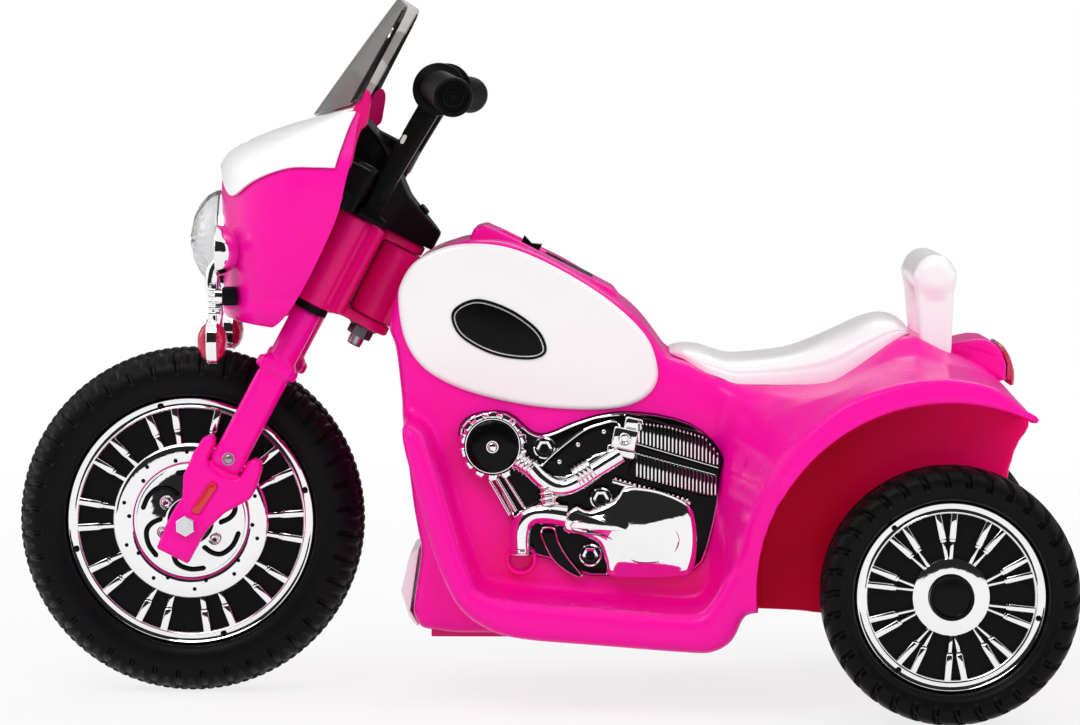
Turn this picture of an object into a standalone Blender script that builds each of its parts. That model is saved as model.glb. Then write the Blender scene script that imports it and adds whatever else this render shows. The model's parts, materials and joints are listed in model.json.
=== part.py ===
# Kids electric ride-on tricycle: one steered front wheel, two rear wheels, a hollow body with
# footboards, a batwing fairing with a windscreen, and a small geared motor at the right rear wheel.
# The vehicle faces -X, its left side is -Y, the floor is Z = 0. All lengths are in metres.

import math

import bmesh
import bpy
from mathutils import Matrix, Vector

# Clearances and walls
GAP = 0.0003
WALL = 0.0025
OVERRUN = 0.001

# Wheels
FRONT_RADIUS = 0.133
FRONT_WIDTH = 0.060
FRONT_X = -0.267
REAR_RADIUS = 0.095
REAR_WIDTH = 0.060
REAR_X = 0.305
REAR_TRACK = 0.370
TYRE_WALL = 0.004
AXLE_RADIUS = 0.006
FRONT_RIM = 0.098
REAR_RIM = 0.0725
FRONT_WEB = 0.0165
REAR_WEB = 0.0125
FRONT_RING = 0.0865
FRONT_DISC = 0.060
REAR_RING = 0.061
REAR_DISC = 0.029
TRIM_DEPTH = 0.0048
FRONT_HUB = 0.016
REAR_HUB = 0.018
FRONT_STEPS = 24
REAR_STEPS = 20
ROUND_STEPS = 10
FINE_STEPS = 16
ARCH_STEPS = 24
HOLLOW_STEPS = 16

# Steering frame: the axis leans back by RAKE; the axle lies FORK_OFFSET ahead of it
RAKE = math.radians(28.0)
FORK_OFFSET = 0.0465
FORK_REACH = 0.188
FORK_HALF_SPREAD = 0.052
SLIDER_RADIUS = 0.0127
STANCHION_RADIUS = 0.011
KINGPIN_RADIUS = 0.006
NECK_RADIUS = 0.0175
YOKE_HALF_WIDTH = 0.0504
YOKE_FLOOR = 0.006
YOKE_PLATE = 0.008
YOKE_HEIGHT = 0.0755

# Body
SPINE_HALF_WIDTH = 0.082
SPINE_CHAMFER = 0.007
SKIRT_HALF_WIDTH = 0.165
SKIRT_CHAMFER = 0.005
PEDAL_CLEAR = 0.055
ARCH_RADIUS = 0.140
ARCH_INNER = 0.1343
CONSOLE_HALF_WIDTH = 0.042

# Fairing
FAIRING_HALF_WIDTH = 0.122
FAIRING_WALL = 0.0025
COVER_WALL = 0.0022
COVER_STAND = 0.0012
COVER_TOP = 8.80
SCREEN_STAND = 0.0084
SCREEN_THICKNESS = 0.0025
HEADLIGHT_RADIUS = 0.0375
HEADLIGHT_Z = 0.349
HEADLIGHT_FACE = -0.2415
LAMP_RADIUS = 0.0195
LAMP_Y = 0.075
LAMP_Z = 0.343

# Handlebar
ARM_Y = 0.0605
ARM_WIDTH = 0.018
ARM_DEPTH = 0.020
BAR_HEIGHT = 0.197
BAR_U = -0.020
BAR_RADIUS = 0.008
GRIP_RADIUS = 0.0135
GRIP_END = 0.192

# Drive: two spur stages from the motor pinion to the right rear wheel
PRESSURE_ANGLE = math.radians(25.0)
BACKLASH = 0.00022
PINION_TEETH = 12
REDUCTION_TEETH = 24
SECOND_TEETH = 12
OUTPUT_TEETH = 24
FIRST_MODULE = 0.00125
SECOND_MODULE = 0.0016
DRIVE_LEAN = math.radians(175.0)
GEAR_SHIFT = 0.0001
FIRST_STAGE_Y = 0.0950
SECOND_STAGE_Y = 0.1090
GEAR_FACE = 0.010
DOG_RADIUS = 0.0105

FRONT_AXLE = Vector((FRONT_X, 0.0, FRONT_RADIUS))
REAR_AXLE = Vector((REAR_X, 0.0, REAR_RADIUS))
LEAN_U = Vector((math.cos(RAKE), 0.0, -math.sin(RAKE)))
LEAN_V = Vector((math.sin(RAKE), 0.0, math.cos(RAKE)))
STEERING_POINT = FRONT_AXLE + FORK_OFFSET * LEAN_U + FORK_REACH * LEAN_V
# Where the steering point was when the fairing, its cover, the headlight and the turn lamps were drawn.
DRAWN_POINT = Vector((-0.13768228, 0.0, 0.27716372))
FIRST_CENTRES = FIRST_MODULE * (PINION_TEETH + REDUCTION_TEETH) / 2 + GEAR_SHIFT
SECOND_CENTRES = SECOND_MODULE * (SECOND_TEETH + OUTPUT_TEETH) / 2 + GEAR_SHIFT
DRIVE_DIRECTION = Vector((math.cos(DRIVE_LEAN), 0.0, math.sin(DRIVE_LEAN)))
REDUCTION_AXIS = REAR_AXLE + SECOND_CENTRES * DRIVE_DIRECTION
MOTOR_AXIS = REDUCTION_AXIS + FIRST_CENTRES * DRIVE_DIRECTION

PINK = (1.0, 0.022, 0.382, 1.0)
WHITE = (0.83, 0.81, 0.83, 1.0)
BLACK = (0.012, 0.012, 0.013, 1.0)
CHROME = (0.80, 0.80, 0.82, 1.0)
STEEL = (0.48, 0.49, 0.50, 1.0)
RED = (0.70, 0.02, 0.05, 1.0)
SMOKE = (0.10, 0.09, 0.10, 1.0)
CLEAR = (0.86, 0.88, 0.90, 1.0)

for stale in list(bpy.data.objects):
    bpy.data.objects.remove(stale, do_unlink=True)

PARTS = bpy.data.collections.new("kids_electric_tricycle")
bpy.context.scene.collection.children.link(PARTS)


# A plain coloured surface for one part.
def make_material(name, colour, roughness, metallic):
    material = bpy.data.materials.new(name)
    material.use_nodes = True
    shader = material.node_tree.nodes["Principled BSDF"]
    shader.inputs["Base Color"].default_value = colour
    shader.inputs["Roughness"].default_value = roughness
    shader.inputs["Metallic"].default_value = metallic
    return material


def make_empty(name, location, rotation, parent):
    empty = bpy.data.objects.new(name, None)
    PARTS.objects.link(empty)
    empty.location = location
    empty.rotation_euler = rotation
    empty.parent = parent
    return empty


STEERING_AXIS = make_empty("steering_axis", STEERING_POINT, (0.0, 0.0, 0.0), None)
FORK_FRAME = make_empty("fork_frame", (0.0, 0.0, 0.0), (0.0, RAKE, 0.0), STEERING_AXIS)


# Removes repeated points, turns every face outward and returns the mesh.
def clean_mesh(mesh, distance=1e-6):
    shape = bmesh.new()
    shape.from_mesh(mesh)
    bmesh.ops.remove_doubles(shape, verts=shape.verts, dist=distance)
    bmesh.ops.recalc_face_normals(shape, faces=shape.faces)
    shape.to_mesh(mesh)
    shape.free()
    return mesh


# Gives one mesh its name, its material, its origin and its place in the assembly.
def place(name, mesh, look, origin=(0.0, 0.0, 0.0), parent=None, flat=False):
    colour, roughness, metallic = look
    origin = Vector(origin)
    mesh.transform(Matrix.Translation(-origin))
    mesh.name = name
    mesh.materials.clear()
    mesh.materials.append(make_material(name + "_surface", colour, roughness, metallic))
    part = bpy.data.objects.new(name, mesh)
    PARTS.objects.link(part)
    part.location = origin
    part.parent = parent
    mesh.polygons.foreach_set("use_smooth", [not flat] * len(mesh.polygons))
    mesh.set_sharp_from_angle(angle=math.radians(32.0))
    return part


# The mesh of a temporary object with its modifiers carried out.
def evaluated_mesh(holder):
    bpy.context.view_layer.update()
    graph = bpy.context.evaluated_depsgraph_get()
    return bpy.data.meshes.new_from_object(holder.evaluated_get(graph), depsgraph=graph)


def temporary(mesh):
    holder = bpy.data.objects.new("working_body", mesh)
    bpy.context.scene.collection.objects.link(holder)
    return holder


# Joins bodies into one, or takes bodies away from one, with exact booleans.
def combine(base, tools, operation):
    holder = temporary(base)
    helpers = []
    for mesh in tools:
        helper = temporary(mesh)
        helpers.append(helper)
        modifier = holder.modifiers.new("combine", "BOOLEAN")
        modifier.operation = operation
        modifier.solver = "EXACT"
        modifier.object = helper
    result = evaluated_mesh(holder)
    for item in helpers + [holder]:
        bpy.data.objects.remove(item, do_unlink=True)
    return clean_mesh(result, 2e-6)


def join(base, *tools):
    return combine(base, tools, "UNION")


def cut(base, *tools):
    return combine(base, tools, "DIFFERENCE")


def moved(mesh, *matrices):
    copy = mesh.copy()
    for matrix in matrices:
        copy.transform(matrix)
    return copy


# The same body on the other side of the vehicle.
def mirrored(mesh):
    copy = mesh.copy()
    copy.transform(Matrix.Scale(-1.0, 4, (0.0, 1.0, 0.0)))
    copy.flip_normals()
    return copy


# Many separate copies of one body in a single mesh, used only as a boolean operand.
def scattered(mesh, matrices):
    shape = bmesh.new()
    for matrix in matrices:
        copy = moved(mesh, matrix)
        shape.from_mesh(copy)
    result = bpy.data.meshes.new("scattered")
    shape.to_mesh(result)
    shape.free()
    return result


def turn(axis, angle):
    return Matrix.Rotation(angle, 4, axis)


def shift(x, y, z):
    return Matrix.Translation((x, y, z))


# From the raked fork frame, measured from the steering point, to the vehicle's frame.
def fork_to_vehicle():
    return Matrix.Translation(STEERING_POINT) @ Matrix.Rotation(RAKE, 4, "Y")


# A flat outline in X and Z given a thickness along Y between two planes, its two rims rounded.
def slab(outlines, y_from, y_to, rounding=0.0, resolution=0):
    thickness = abs(y_to - y_from)
    curve = bpy.data.curves.new("outline", "CURVE")
    curve.dimensions = "2D"
    curve.fill_mode = "BOTH"
    curve.extrude = thickness / 2 - rounding
    curve.bevel_depth = rounding
    curve.bevel_resolution = resolution
    curve.offset = -rounding
    if isinstance(outlines[0][0], (int, float)):
        outlines = [outlines]
    for points in outlines:
        spline = curve.splines.new("POLY")
        spline.points.add(len(points) - 1)
        spline.use_cyclic_u = True
        for target, (x, z) in zip(spline.points, points):
            target.co = (x, z, 0.0, 1.0)
    holder = bpy.data.objects.new("outline", curve)
    bpy.context.scene.collection.objects.link(holder)
    mesh = evaluated_mesh(holder)
    bpy.data.objects.remove(holder, do_unlink=True)
    mesh.transform(turn("X", math.pi / 2))
    mesh.transform(shift(0.0, (y_from + y_to) / 2, 0.0))
    return clean_mesh(mesh)


# A closed profile of radius and height turned once about the Z axis.
def turned(profile, steps):
    shape = bmesh.new()
    corners = [shape.verts.new((radius, 0.0, height)) for radius, height in profile]
    for first, second in zip(corners, corners[1:]):
        shape.edges.new((first, second))
    if profile[0][0] > 0.0 or profile[-1][0] > 0.0:
        shape.edges.new((corners[-1], corners[0]))
    mesh = bpy.data.meshes.new("profile")
    shape.to_mesh(mesh)
    shape.free()
    holder = temporary(mesh)
    screw = holder.modifiers.new("turn", "SCREW")
    screw.steps = steps
    screw.render_steps = steps
    screw.use_merge_vertices = True
    screw.merge_threshold = 0.00001
    result = evaluated_mesh(holder)
    bpy.data.objects.remove(holder, do_unlink=True)
    return clean_mesh(result, 1e-5)


# A turned body whose axis lies along +Y.
def turned_across(profile, steps):
    mesh = turned(profile, steps)
    mesh.transform(turn("X", -math.pi / 2))
    return mesh


# A turned body whose axis lies along -X.
def turned_forward(profile, steps):
    mesh = turned(profile, steps)
    mesh.transform(turn("Y", -math.pi / 2))
    return mesh


def rod(radius, low, high, steps=ROUND_STEPS):
    return turned([(0.0, high), (radius, high), (radius, low), (0.0, low)], steps)


# The corner radius of a many-sided hole whose flats clear a round piece of this radius.
def clear(radius):
    return (radius + GAP) / math.cos(math.pi / ROUND_STEPS)


def rod_across(radius, y_low, y_high, steps=ROUND_STEPS):
    return turned_across([(0.0, y_high), (radius, y_high), (radius, y_low), (0.0, y_low)], steps)


def box(low, high):
    mesh = bpy.data.meshes.new("box")
    shape = bmesh.new()
    bmesh.ops.create_cube(shape, size=1.0)
    shape.to_mesh(mesh)
    shape.free()
    size = [b - a for a, b in zip(low, high)]
    middle = [(a + b) / 2 for a, b in zip(low, high)]
    mesh.transform(Matrix.Diagonal((size[0], size[1], size[2], 1.0)))
    mesh.transform(Matrix.Translation(middle))
    return mesh


# The smallest convex body round a set of points.
def hull(points):
    shape = bmesh.new()
    corners = [shape.verts.new(point) for point in points]
    found = bmesh.ops.convex_hull(shape, input=corners)
    loose = [item for item in found["geom_interior"] if isinstance(item, bmesh.types.BMVert)]
    bmesh.ops.delete(shape, geom=loose, context="VERTS")
    mesh = bpy.data.meshes.new("hull")
    shape.to_mesh(mesh)
    shape.free()
    return clean_mesh(mesh)


# A round bar along a path of points.
def bar(path, radius, resolution=2, cyclic=False):
    curve = bpy.data.curves.new("path", "CURVE")
    curve.dimensions = "3D"
    curve.bevel_depth = radius
    curve.bevel_resolution = resolution
    curve.use_fill_caps = True
    spline = curve.splines.new("POLY")
    spline.points.add(len(path) - 1)
    spline.use_cyclic_u = cyclic
    for target, point in zip(spline.points, path):
        target.co = (point[0], point[1], point[2], 1.0)
    holder = bpy.data.objects.new("path", curve)
    bpy.context.scene.collection.objects.link(holder)
    mesh = evaluated_mesh(holder)
    bpy.data.objects.remove(holder, do_unlink=True)
    return clean_mesh(mesh)


# A closed thin body between two grids of points, outer and inner, of the same size.
def shell_between(outer, inner):
    rows = len(outer)
    columns = len(outer[0])
    shape = bmesh.new()
    front = [[shape.verts.new(point) for point in row] for row in outer]
    back = [[shape.verts.new(point) for point in row] for row in inner]
    for i in range(rows - 1):
        for j in range(columns - 1):
            shape.faces.new((front[i][j], front[i][j + 1], front[i + 1][j + 1], front[i + 1][j]))
            shape.faces.new((back[i][j], back[i + 1][j], back[i + 1][j + 1], back[i][j + 1]))
    for i in range(rows - 1):
        shape.faces.new((front[i][0], front[i + 1][0], back[i + 1][0], back[i][0]))
        shape.faces.new((front[i + 1][-1], front[i][-1], back[i][-1], back[i + 1][-1]))
    for j in range(columns - 1):
        shape.faces.new((front[0][j + 1], front[0][j], back[0][j], back[0][j + 1]))
        shape.faces.new((front[-1][j], front[-1][j + 1], back[-1][j + 1], back[-1][j]))
    mesh = bpy.data.meshes.new("shell")
    shape.to_mesh(mesh)
    shape.free()
    return clean_mesh(mesh, 1e-7)


# The outline moved inward by a distance at each corner, along the bisector of its two sides.
def inset(points, distance):
    count = len(points)
    area = sum(points[i][0] * points[(i + 1) % count][1] - points[(i + 1) % count][0] * points[i][1]
               for i in range(count))
    side = 1.0 if area > 0 else -1.0
    result = []
    for i in range(count):
        before = Vector(points[i - 1])
        here = Vector(points[i])
        after = Vector(points[(i + 1) % count])
        first = (here - before).normalized()
        second = (after - here).normalized()
        normal = Vector((-(first.y + second.y), first.x + second.x)).normalized() * side
        reach = distance / max(0.5, normal.dot(Vector((-first.y, first.x)) * side))
        moved_point = here + normal * reach
        result.append((moved_point.x, moved_point.y))
    return result


def arc(centre, radius, start, end, count):
    angles = [math.radians(start + (end - start) * i / (count - 1)) for i in range(count)]
    return [(centre[0] + radius * math.cos(a), centre[1] + radius * math.sin(a)) for a in angles]


PLASTIC_PINK = (PINK, 0.25, 0.0)
PLASTIC_WHITE = (WHITE, 0.35, 0.0)
PLASTIC_BLACK = (BLACK, 0.45, 0.0)
TYRE_BLACK = (BLACK, 0.6, 0.0)
PLATED = (CHROME, 0.12, 1.0)
BARE_STEEL = (STEEL, 0.3, 1.0)
LENS_RED = (RED, 0.15, 0.0)
LENS_SMOKE = (SMOKE, 0.08, 0.0)
LENS_CLEAR = (CLEAR, 0.08, 0.0)


# Front wheel: a hollow moulding, its two webs open to the axle bore between the hub bosses.
def front_wheel():
    bore = AXLE_RADIUS + GAP
    half = FRONT_WIDTH / 2
    outer = [(bore, half + 0.001), (FRONT_HUB, half + 0.001), (FRONT_HUB, FRONT_WEB),
             (FRONT_RIM - 0.002, FRONT_WEB), (FRONT_RIM + 0.001, half - 0.003),
             (FRONT_RADIUS - 0.022, half), (FRONT_RADIUS - 0.010, half - 0.003),
             (FRONT_RADIUS, half - 0.018)]
    inner = [(FRONT_RADIUS - TYRE_WALL, half - 0.020), (FRONT_RADIUS - 0.014, half - 0.0070),
             (FRONT_RIM - 0.001, FRONT_WEB - TYRE_WALL), (bore, FRONT_WEB - TYRE_WALL)]
    profile = outer + [(r, -h) for r, h in reversed(outer)]
    profile += [(r, -h) for r, h in reversed(inner)] + inner
    return turned_across(profile, FRONT_STEPS)


# Rear wheel on the left side: the outer face is towards -Y, the hub is longer on the inside.
def rear_wheel():
    bore = AXLE_RADIUS + GAP
    half = REAR_WIDTH / 2
    outer = [(REAR_HUB, REAR_WEB), (REAR_RIM - 0.002, REAR_WEB), (REAR_RIM + 0.001, half - 0.004),
             (REAR_RADIUS - 0.011, half), (REAR_RADIUS, half - 0.011)]
    inner = [(REAR_RADIUS - TYRE_WALL, half - 0.012), (REAR_RIM + 0.004, half - 0.009),
             (REAR_RIM - 0.003, REAR_WEB - TYRE_WALL)]
    profile = [(bore, 0.018), (REAR_HUB, 0.018)] + outer
    profile += [(r, -h) for r, h in reversed(outer)]
    profile += [(REAR_HUB, -0.0275), (bore, -0.0275), (bore, -(REAR_WEB - TYRE_WALL))]
    profile += [(r, -h) for r, h in reversed(inner)] + inner
    profile += [(bore, REAR_WEB - TYRE_WALL)]
    return turned_across(profile, REAR_STEPS)


def polar(radius, angle):
    return (radius * math.cos(math.radians(angle)), radius * math.sin(math.radians(angle)))


# Half the angle that a bar of a given width covers at a radius.
def half_angle(width, radius):
    return math.degrees(math.asin(width / 2 / radius))


# Windows between neighbouring bars: each bar is given by its angle at the inner and the outer radius.
def windows_between(bars, inner, outer, slim, thick):
    windows = []
    for (inner_a, outer_a), (inner_b, outer_b) in zip(bars, bars[1:] + bars[:1]):
        if inner_b < inner_a:
            inner_b += 360.0
            outer_b += 360.0
        low = inner_a + half_angle(slim, inner)
        high = inner_b - half_angle(slim, inner)
        start = outer_a + half_angle(thick, outer)
        end = outer_b - half_angle(thick, outer)
        window = [polar(outer, start)]
        if end - start > 15.0:
            window.append(polar(outer, (start + end) / 2))
        window.append(polar(outer, end))
        if high - low > 3.0:
            window += [polar(inner, high), polar(inner, low)]
        else:
            window.append(polar(inner + 0.006, (low + high) / 2))
        windows.append(window)
    return windows


# Plated trim of the front wheel: rim ring, twenty spokes in pairs and a slotted disc.
def front_trim():
    low = FRONT_WEB + GAP
    angles = []
    for pair in range(10):
        for side in (-1, 1):
            angle = 105.0 + 36.0 * pair + 6.8 * side - 360.0
            angles.append((angle, angle))
    windows = windows_between(angles, FRONT_DISC, FRONT_RING, 0.0045, 0.0056)
    slots = []
    for index in range(5):
        aim = 28.0 + 72.0 * index
        slots.append([polar(0.034, aim - 16.0), polar(0.039, aim), polar(0.034, aim + 16.0),
                      polar(0.030, aim + 14.0), polar(0.033, aim), polar(0.030, aim - 14.0)])
    rim = arc((0.0, 0.0), FRONT_RIM - 0.0040, 0.0, 360.0 - 360.0 / FRONT_STEPS, FRONT_STEPS)
    bore = arc((0.0, 0.0), (FRONT_HUB + GAP) / math.cos(math.pi / ROUND_STEPS), 0.0,
               360.0 - 360.0 / ROUND_STEPS, ROUND_STEPS)
    return slab([rim, bore] + windows + slots, -(low + TRIM_DEPTH), -low)


# Plated trim of a rear wheel: rim ring and ten pairs of spokes that meet at a hub ring.
def rear_trim():
    low = REAR_WEB + GAP
    angles = []
    for pair in range(10):
        for side in (-1, 1):
            middle = 93.6 + 36.0 * pair - 360.0
            angles.append((middle + 3.2 * side, middle + 7.5 * side))
    windows = windows_between(angles, REAR_DISC, REAR_RING, 0.0030, 0.0045)
    rim = arc((0.0, 0.0), REAR_RIM - 0.0042, 0.0, 360.0 - 360.0 / REAR_STEPS, REAR_STEPS)
    bore = arc((0.0, 0.0), (REAR_HUB + GAP) / math.cos(math.pi / ROUND_STEPS), 0.0,
               360.0 - 360.0 / ROUND_STEPS, ROUND_STEPS)
    return slab([rim, bore] + windows, -(low + TRIM_DEPTH), -low)


def hub_cap():
    face = REAR_TRACK / 2
    profile = [(0.0, 0.0262), (0.0125, 0.0262), (0.0135, 0.0272), (0.0155, 0.0272), (0.0165, 0.0260),
               (0.0165, 0.0183), (0.0125, 0.0183), (0.0125, 0.0242), (0.0, 0.0242)]
    mesh = mirrored(turned_across(profile, ROUND_STEPS))
    mesh.transform(shift(REAR_X, -face, REAR_RADIUS))
    return mesh


# Rear axle: one rod with a locating collar at the left wheel and a pressed nut at each end.
def rear_axle():
    hub_out = REAR_TRACK / 2 + 0.018 + GAP
    nut = hub_out + 0.0045
    collar_in = ARCH_INNER + GAP
    collar_out = REAR_TRACK / 2 - 0.0275 - GAP
    profile = [(0.0, nut), (0.0095, nut), (0.0095, hub_out), (AXLE_RADIUS, hub_out),
               (AXLE_RADIUS, -collar_in), (0.010, -collar_in), (0.010, -collar_out),
               (AXLE_RADIUS, -collar_out), (AXLE_RADIUS, -hub_out), (0.0095, -hub_out),
               (0.0095, -nut), (0.0, -nut)]
    mesh = turned_across(profile, ROUND_STEPS)
    mesh.transform(Matrix.Translation(REAR_AXLE))
    return mesh


# Fork leg in the raked frame, on the left side: tubes above, a shouldered casting round the axle.
def fork_leg():
    centre = (-FORK_OFFSET, -FORK_REACH)
    half = [(0.0135, -0.0212), (0.0138, 0.0200), (0.0270, 0.0400), (0.0275, 0.0550), (0.0262, 0.0700),
            (0.0230, 0.0760), (0.0170, 0.0770), (0.0127, 0.0690), (0.0127, 0.0570)]
    outline = [(centre[0] + u, centre[1] + v) for u, v in half]
    outline += [(centre[0] - u, centre[1] + v) for u, v in reversed(half)]
    inner = FORK_HALF_SPREAD - 0.0105
    outer = FORK_HALF_SPREAD + 0.0105
    casting = slab(outline, -outer, -inner, 0.003)
    base = centre[1]
    tube = turned([(0.0, base + 0.0400), (0.0110, base + 0.0400), (0.0110, base + 0.0780),
                   (SLIDER_RADIUS - 0.001, base + 0.0780), (SLIDER_RADIUS, base + 0.0800),
                   (SLIDER_RADIUS, base + 0.1600), (SLIDER_RADIUS - 0.0015, base + 0.1620),
                   (STANCHION_RADIUS, base + 0.1620), (STANCHION_RADIUS, YOKE_FLOOR - GAP - 0.006),
                   (0.010, YOKE_FLOOR - GAP - 0.006), (0.010, YOKE_FLOOR + 0.035),
                   (0.0, YOKE_FLOOR + 0.035)], ROUND_STEPS)
    tube.transform(shift(centre[0], -FORK_HALF_SPREAD, 0.0))
    mesh = join(casting, tube)
    bore = rod_across(clear(AXLE_RADIUS), -outer - OVERRUN, -inner + OVERRUN, ROUND_STEPS)
    bore.transform(shift(centre[0], 0.0, centre[1]))
    slot = slab(arc((centre[0], base + 0.0420), 0.0036, 0, 180, 5)
                + arc((centre[0], base + 0.0210), 0.0036, 180, 360, 5), -outer - OVERRUN, -outer + 0.002)
    return cut(mesh, bore, slot)


def fork_collar():
    top = YOKE_FLOOR - GAP
    bore = clear(0.010)
    mesh = turned([(bore, top), (0.0145, top), (0.0145, top - 0.0055), (bore, top - 0.0055)], ROUND_STEPS)
    mesh.transform(shift(-FORK_OFFSET, -FORK_HALF_SPREAD, 0.0))
    return mesh


# Yoke: a block with two tube sockets and two plates that hold the neck between them.
def fork_yoke():
    floor = YOKE_FLOOR
    top = YOKE_FLOOR + YOKE_HEIGHT
    front = -0.0620
    back = -0.0235
    block = slab([(front, floor + 0.002), (front + 0.002, floor), (back, floor), (back, top), (front, top)],
                 -YOKE_HALF_WIDTH, YOKE_HALF_WIDTH)
    tube = rod(0.0140, floor, top)
    tubes = [moved(tube, shift(-FORK_OFFSET, side * FORK_HALF_SPREAD, 0.0)) for side in (-1, 1)]
    rib = box((back - 0.002, -0.030, floor + 0.001), (-0.0200, 0.030, top - 0.001))

    def plate(low, high, radius):
        outline = [(back - 0.010, -0.038), (back + 0.006, -0.034)]
        outline += arc((0.0, 0.0), radius, -75.0, 75.0, 11) + [(back + 0.006, 0.034), (back - 0.010, 0.038)]
        mesh = slab(outline, -high, -low)
        mesh.transform(turn("X", -math.pi / 2))
        return mesh

    lower = plate(floor, floor + YOKE_PLATE, 0.0190)
    upper = plate(top - YOKE_PLATE, top, 0.0140)
    mesh = join(block, tubes[0], tubes[1], rib, lower, upper)
    bore = rod(clear(KINGPIN_RADIUS), floor - OVERRUN, top + OVERRUN)
    socket = rod(clear(0.010), floor - OVERRUN, floor + 0.036)
    sockets = [moved(socket, shift(-FORK_OFFSET, side * FORK_HALF_SPREAD, 0.0)) for side in (-1, 1)]
    neck_room = rod(NECK_RADIUS + 0.0012, floor + YOKE_PLATE + GAP, top - YOKE_PLATE - GAP, FINE_STEPS)
    pocket = box((-0.0700, -0.0310, floor + 0.0040), (back - 0.0050, 0.0310, top - 0.0040))
    return cut(mesh, bore, sockets[0], sockets[1], neck_room, pocket)


def kingpin():
    top = YOKE_FLOOR + YOKE_HEIGHT
    profile = [(0.0, top + 0.0052), (0.0080, top + 0.0052), (0.0090, top + 0.0035), (0.0090, top + GAP),
               (KINGPIN_RADIUS, top + GAP), (KINGPIN_RADIUS, YOKE_FLOOR - 0.016),
               (0.0052, YOKE_FLOOR - 0.017), (0.0, YOKE_FLOOR - 0.017)]
    return turned(profile, ROUND_STEPS)


def hexagon(radius):
    return [(radius * math.cos(math.radians(60.0 * i)), radius * math.sin(math.radians(60.0 * i)))
            for i in range(6)]


def kingpin_nut():
    nut = slab(hexagon(0.0098), -0.0045, 0.0045, 0.0008)
    nut.transform(turn("X", -math.pi / 2))
    nut.transform(shift(0.0, 0.0, YOKE_FLOOR - 0.0045 - GAP))
    return cut(nut, rod(clear(KINGPIN_RADIUS), YOKE_FLOOR - 0.020, YOKE_FLOOR + 0.010, ROUND_STEPS))


# Front axle: a bolt with a hexagon head on the left and a hexagon nut run on at the right.
def front_axle():
    face = FORK_HALF_SPREAD + 0.0105 + GAP
    shaft = rod_across(AXLE_RADIUS, -face - 0.002, face + 0.002, ROUND_STEPS)
    heads = [slab(hexagon(0.0080), side * face, side * (face + 0.0055), 0.0008) for side in (-1, 1)]
    mesh = join(shaft, heads[0], heads[1])
    mesh.transform(shift(-FORK_OFFSET, 0.0, -FORK_REACH))
    return mesh


SPINE = [(-0.088, 0.056), (-0.062, 0.0525), (0.1360, 0.0525), (0.1360, 0.2300),
         (0.1130, 0.2560), (0.098, 0.2640), (0.078, 0.2905),
         (0.057, 0.3080), (0.018, 0.3325), (-0.019, 0.3485), (-0.045, 0.3510), (-0.064, 0.3480),
         (-0.085, 0.3370), (-0.098, 0.3260), (-0.106, 0.3120), (-0.1115, 0.2850), (-0.1070, 0.2740),
         (-0.104, 0.2500), (-0.101, 0.2210), (-0.094, 0.1550), (-0.087, 0.1160), (-0.094, 0.0680)]
# Half sections of the rear body at successive X: edge of the top, shoulder, flank, outer wall, belly.
REAR_SECTIONS = [
    (0.0950, [(0.0700, 0.2500), (0.0785, 0.2420), (0.0789, 0.2000), (0.0786, 0.1250), (0.0780, 0.0840)]),
    (0.1130, [(0.0740, 0.2590), (0.0800, 0.2515), (0.0805, 0.2000), (0.0806, 0.1250), (0.0804, 0.0820)]),
    (0.1240, [(0.0760, 0.2518), (0.0808, 0.2450), (0.0813, 0.1980), (0.0814, 0.1300), (0.0812, 0.0805)]),
    (0.1400, [(0.0772, 0.2461), (0.0812, 0.2395), (0.0816, 0.1970), (0.0817, 0.1280), (0.0815, 0.0798)]),
    (0.1510, [(0.0780, 0.2422), (0.0880, 0.2360), (0.1120, 0.1960), (0.1630, 0.1240), (0.1630, 0.0790)]),
    (0.1730, [(0.0790, 0.2416), (0.0920, 0.2375), (0.1280, 0.2190), (0.1800, 0.1820), (0.1815, 0.0780)]),
    (0.1950, [(0.0800, 0.2416), (0.0970, 0.2390), (0.1420, 0.2300), (0.1890, 0.2085), (0.1910, 0.0770)]),
    (0.2240, [(0.0800, 0.2436), (0.1000, 0.2430), (0.1460, 0.2410), (0.1900, 0.2345), (0.1920, 0.0740)]),
    (0.2460, [(0.0790, 0.2556), (0.1000, 0.2530), (0.1460, 0.2495), (0.1900, 0.2435), (0.1920, 0.0642)]),
    (0.2710, [(0.0780, 0.2680), (0.1000, 0.2620), (0.1460, 0.2555), (0.1900, 0.2505), (0.1920, 0.0640)]),
    (0.2830, [(0.0800, 0.2690), (0.1050, 0.2620), (0.1480, 0.2565), (0.1900, 0.2520), (0.1920, 0.0640)]),
    (0.3040, [(0.0950, 0.2622), (0.1200, 0.2600), (0.1520, 0.2570), (0.1900, 0.2535), (0.1920, 0.0640)]),
    (0.3300, [(0.0950, 0.2560), (0.1200, 0.2545), (0.1520, 0.2525), (0.1900, 0.2495), (0.1920, 0.0640)]),
    (0.3410, [(0.0950, 0.2506), (0.1200, 0.2495), (0.1520, 0.2480), (0.1900, 0.2455), (0.1920, 0.1000)]),
    (0.3520, [(0.0950, 0.2425), (0.1200, 0.2418), (0.1520, 0.2405), (0.1900, 0.2380), (0.1920, 0.1960)]),
    (0.3670, [(0.0950, 0.2240), (0.1200, 0.2235), (0.1520, 0.2230), (0.1880, 0.2220), (0.1900, 0.2150)]),
]
SKIRT_OUTER = [(-0.099, 0.2210), (-0.096, 0.1980), (-0.084, 0.1550), (-0.073, 0.1180),
               (-0.058, 0.0840), (-0.036, 0.0660), (-0.010, 0.0580), (0.049, 0.0530),
               (0.115, 0.0480), (0.134, 0.0490), (0.148, 0.0590), (0.156, 0.0810),
               (0.167, 0.1180), (0.189, 0.1590)]
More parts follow.
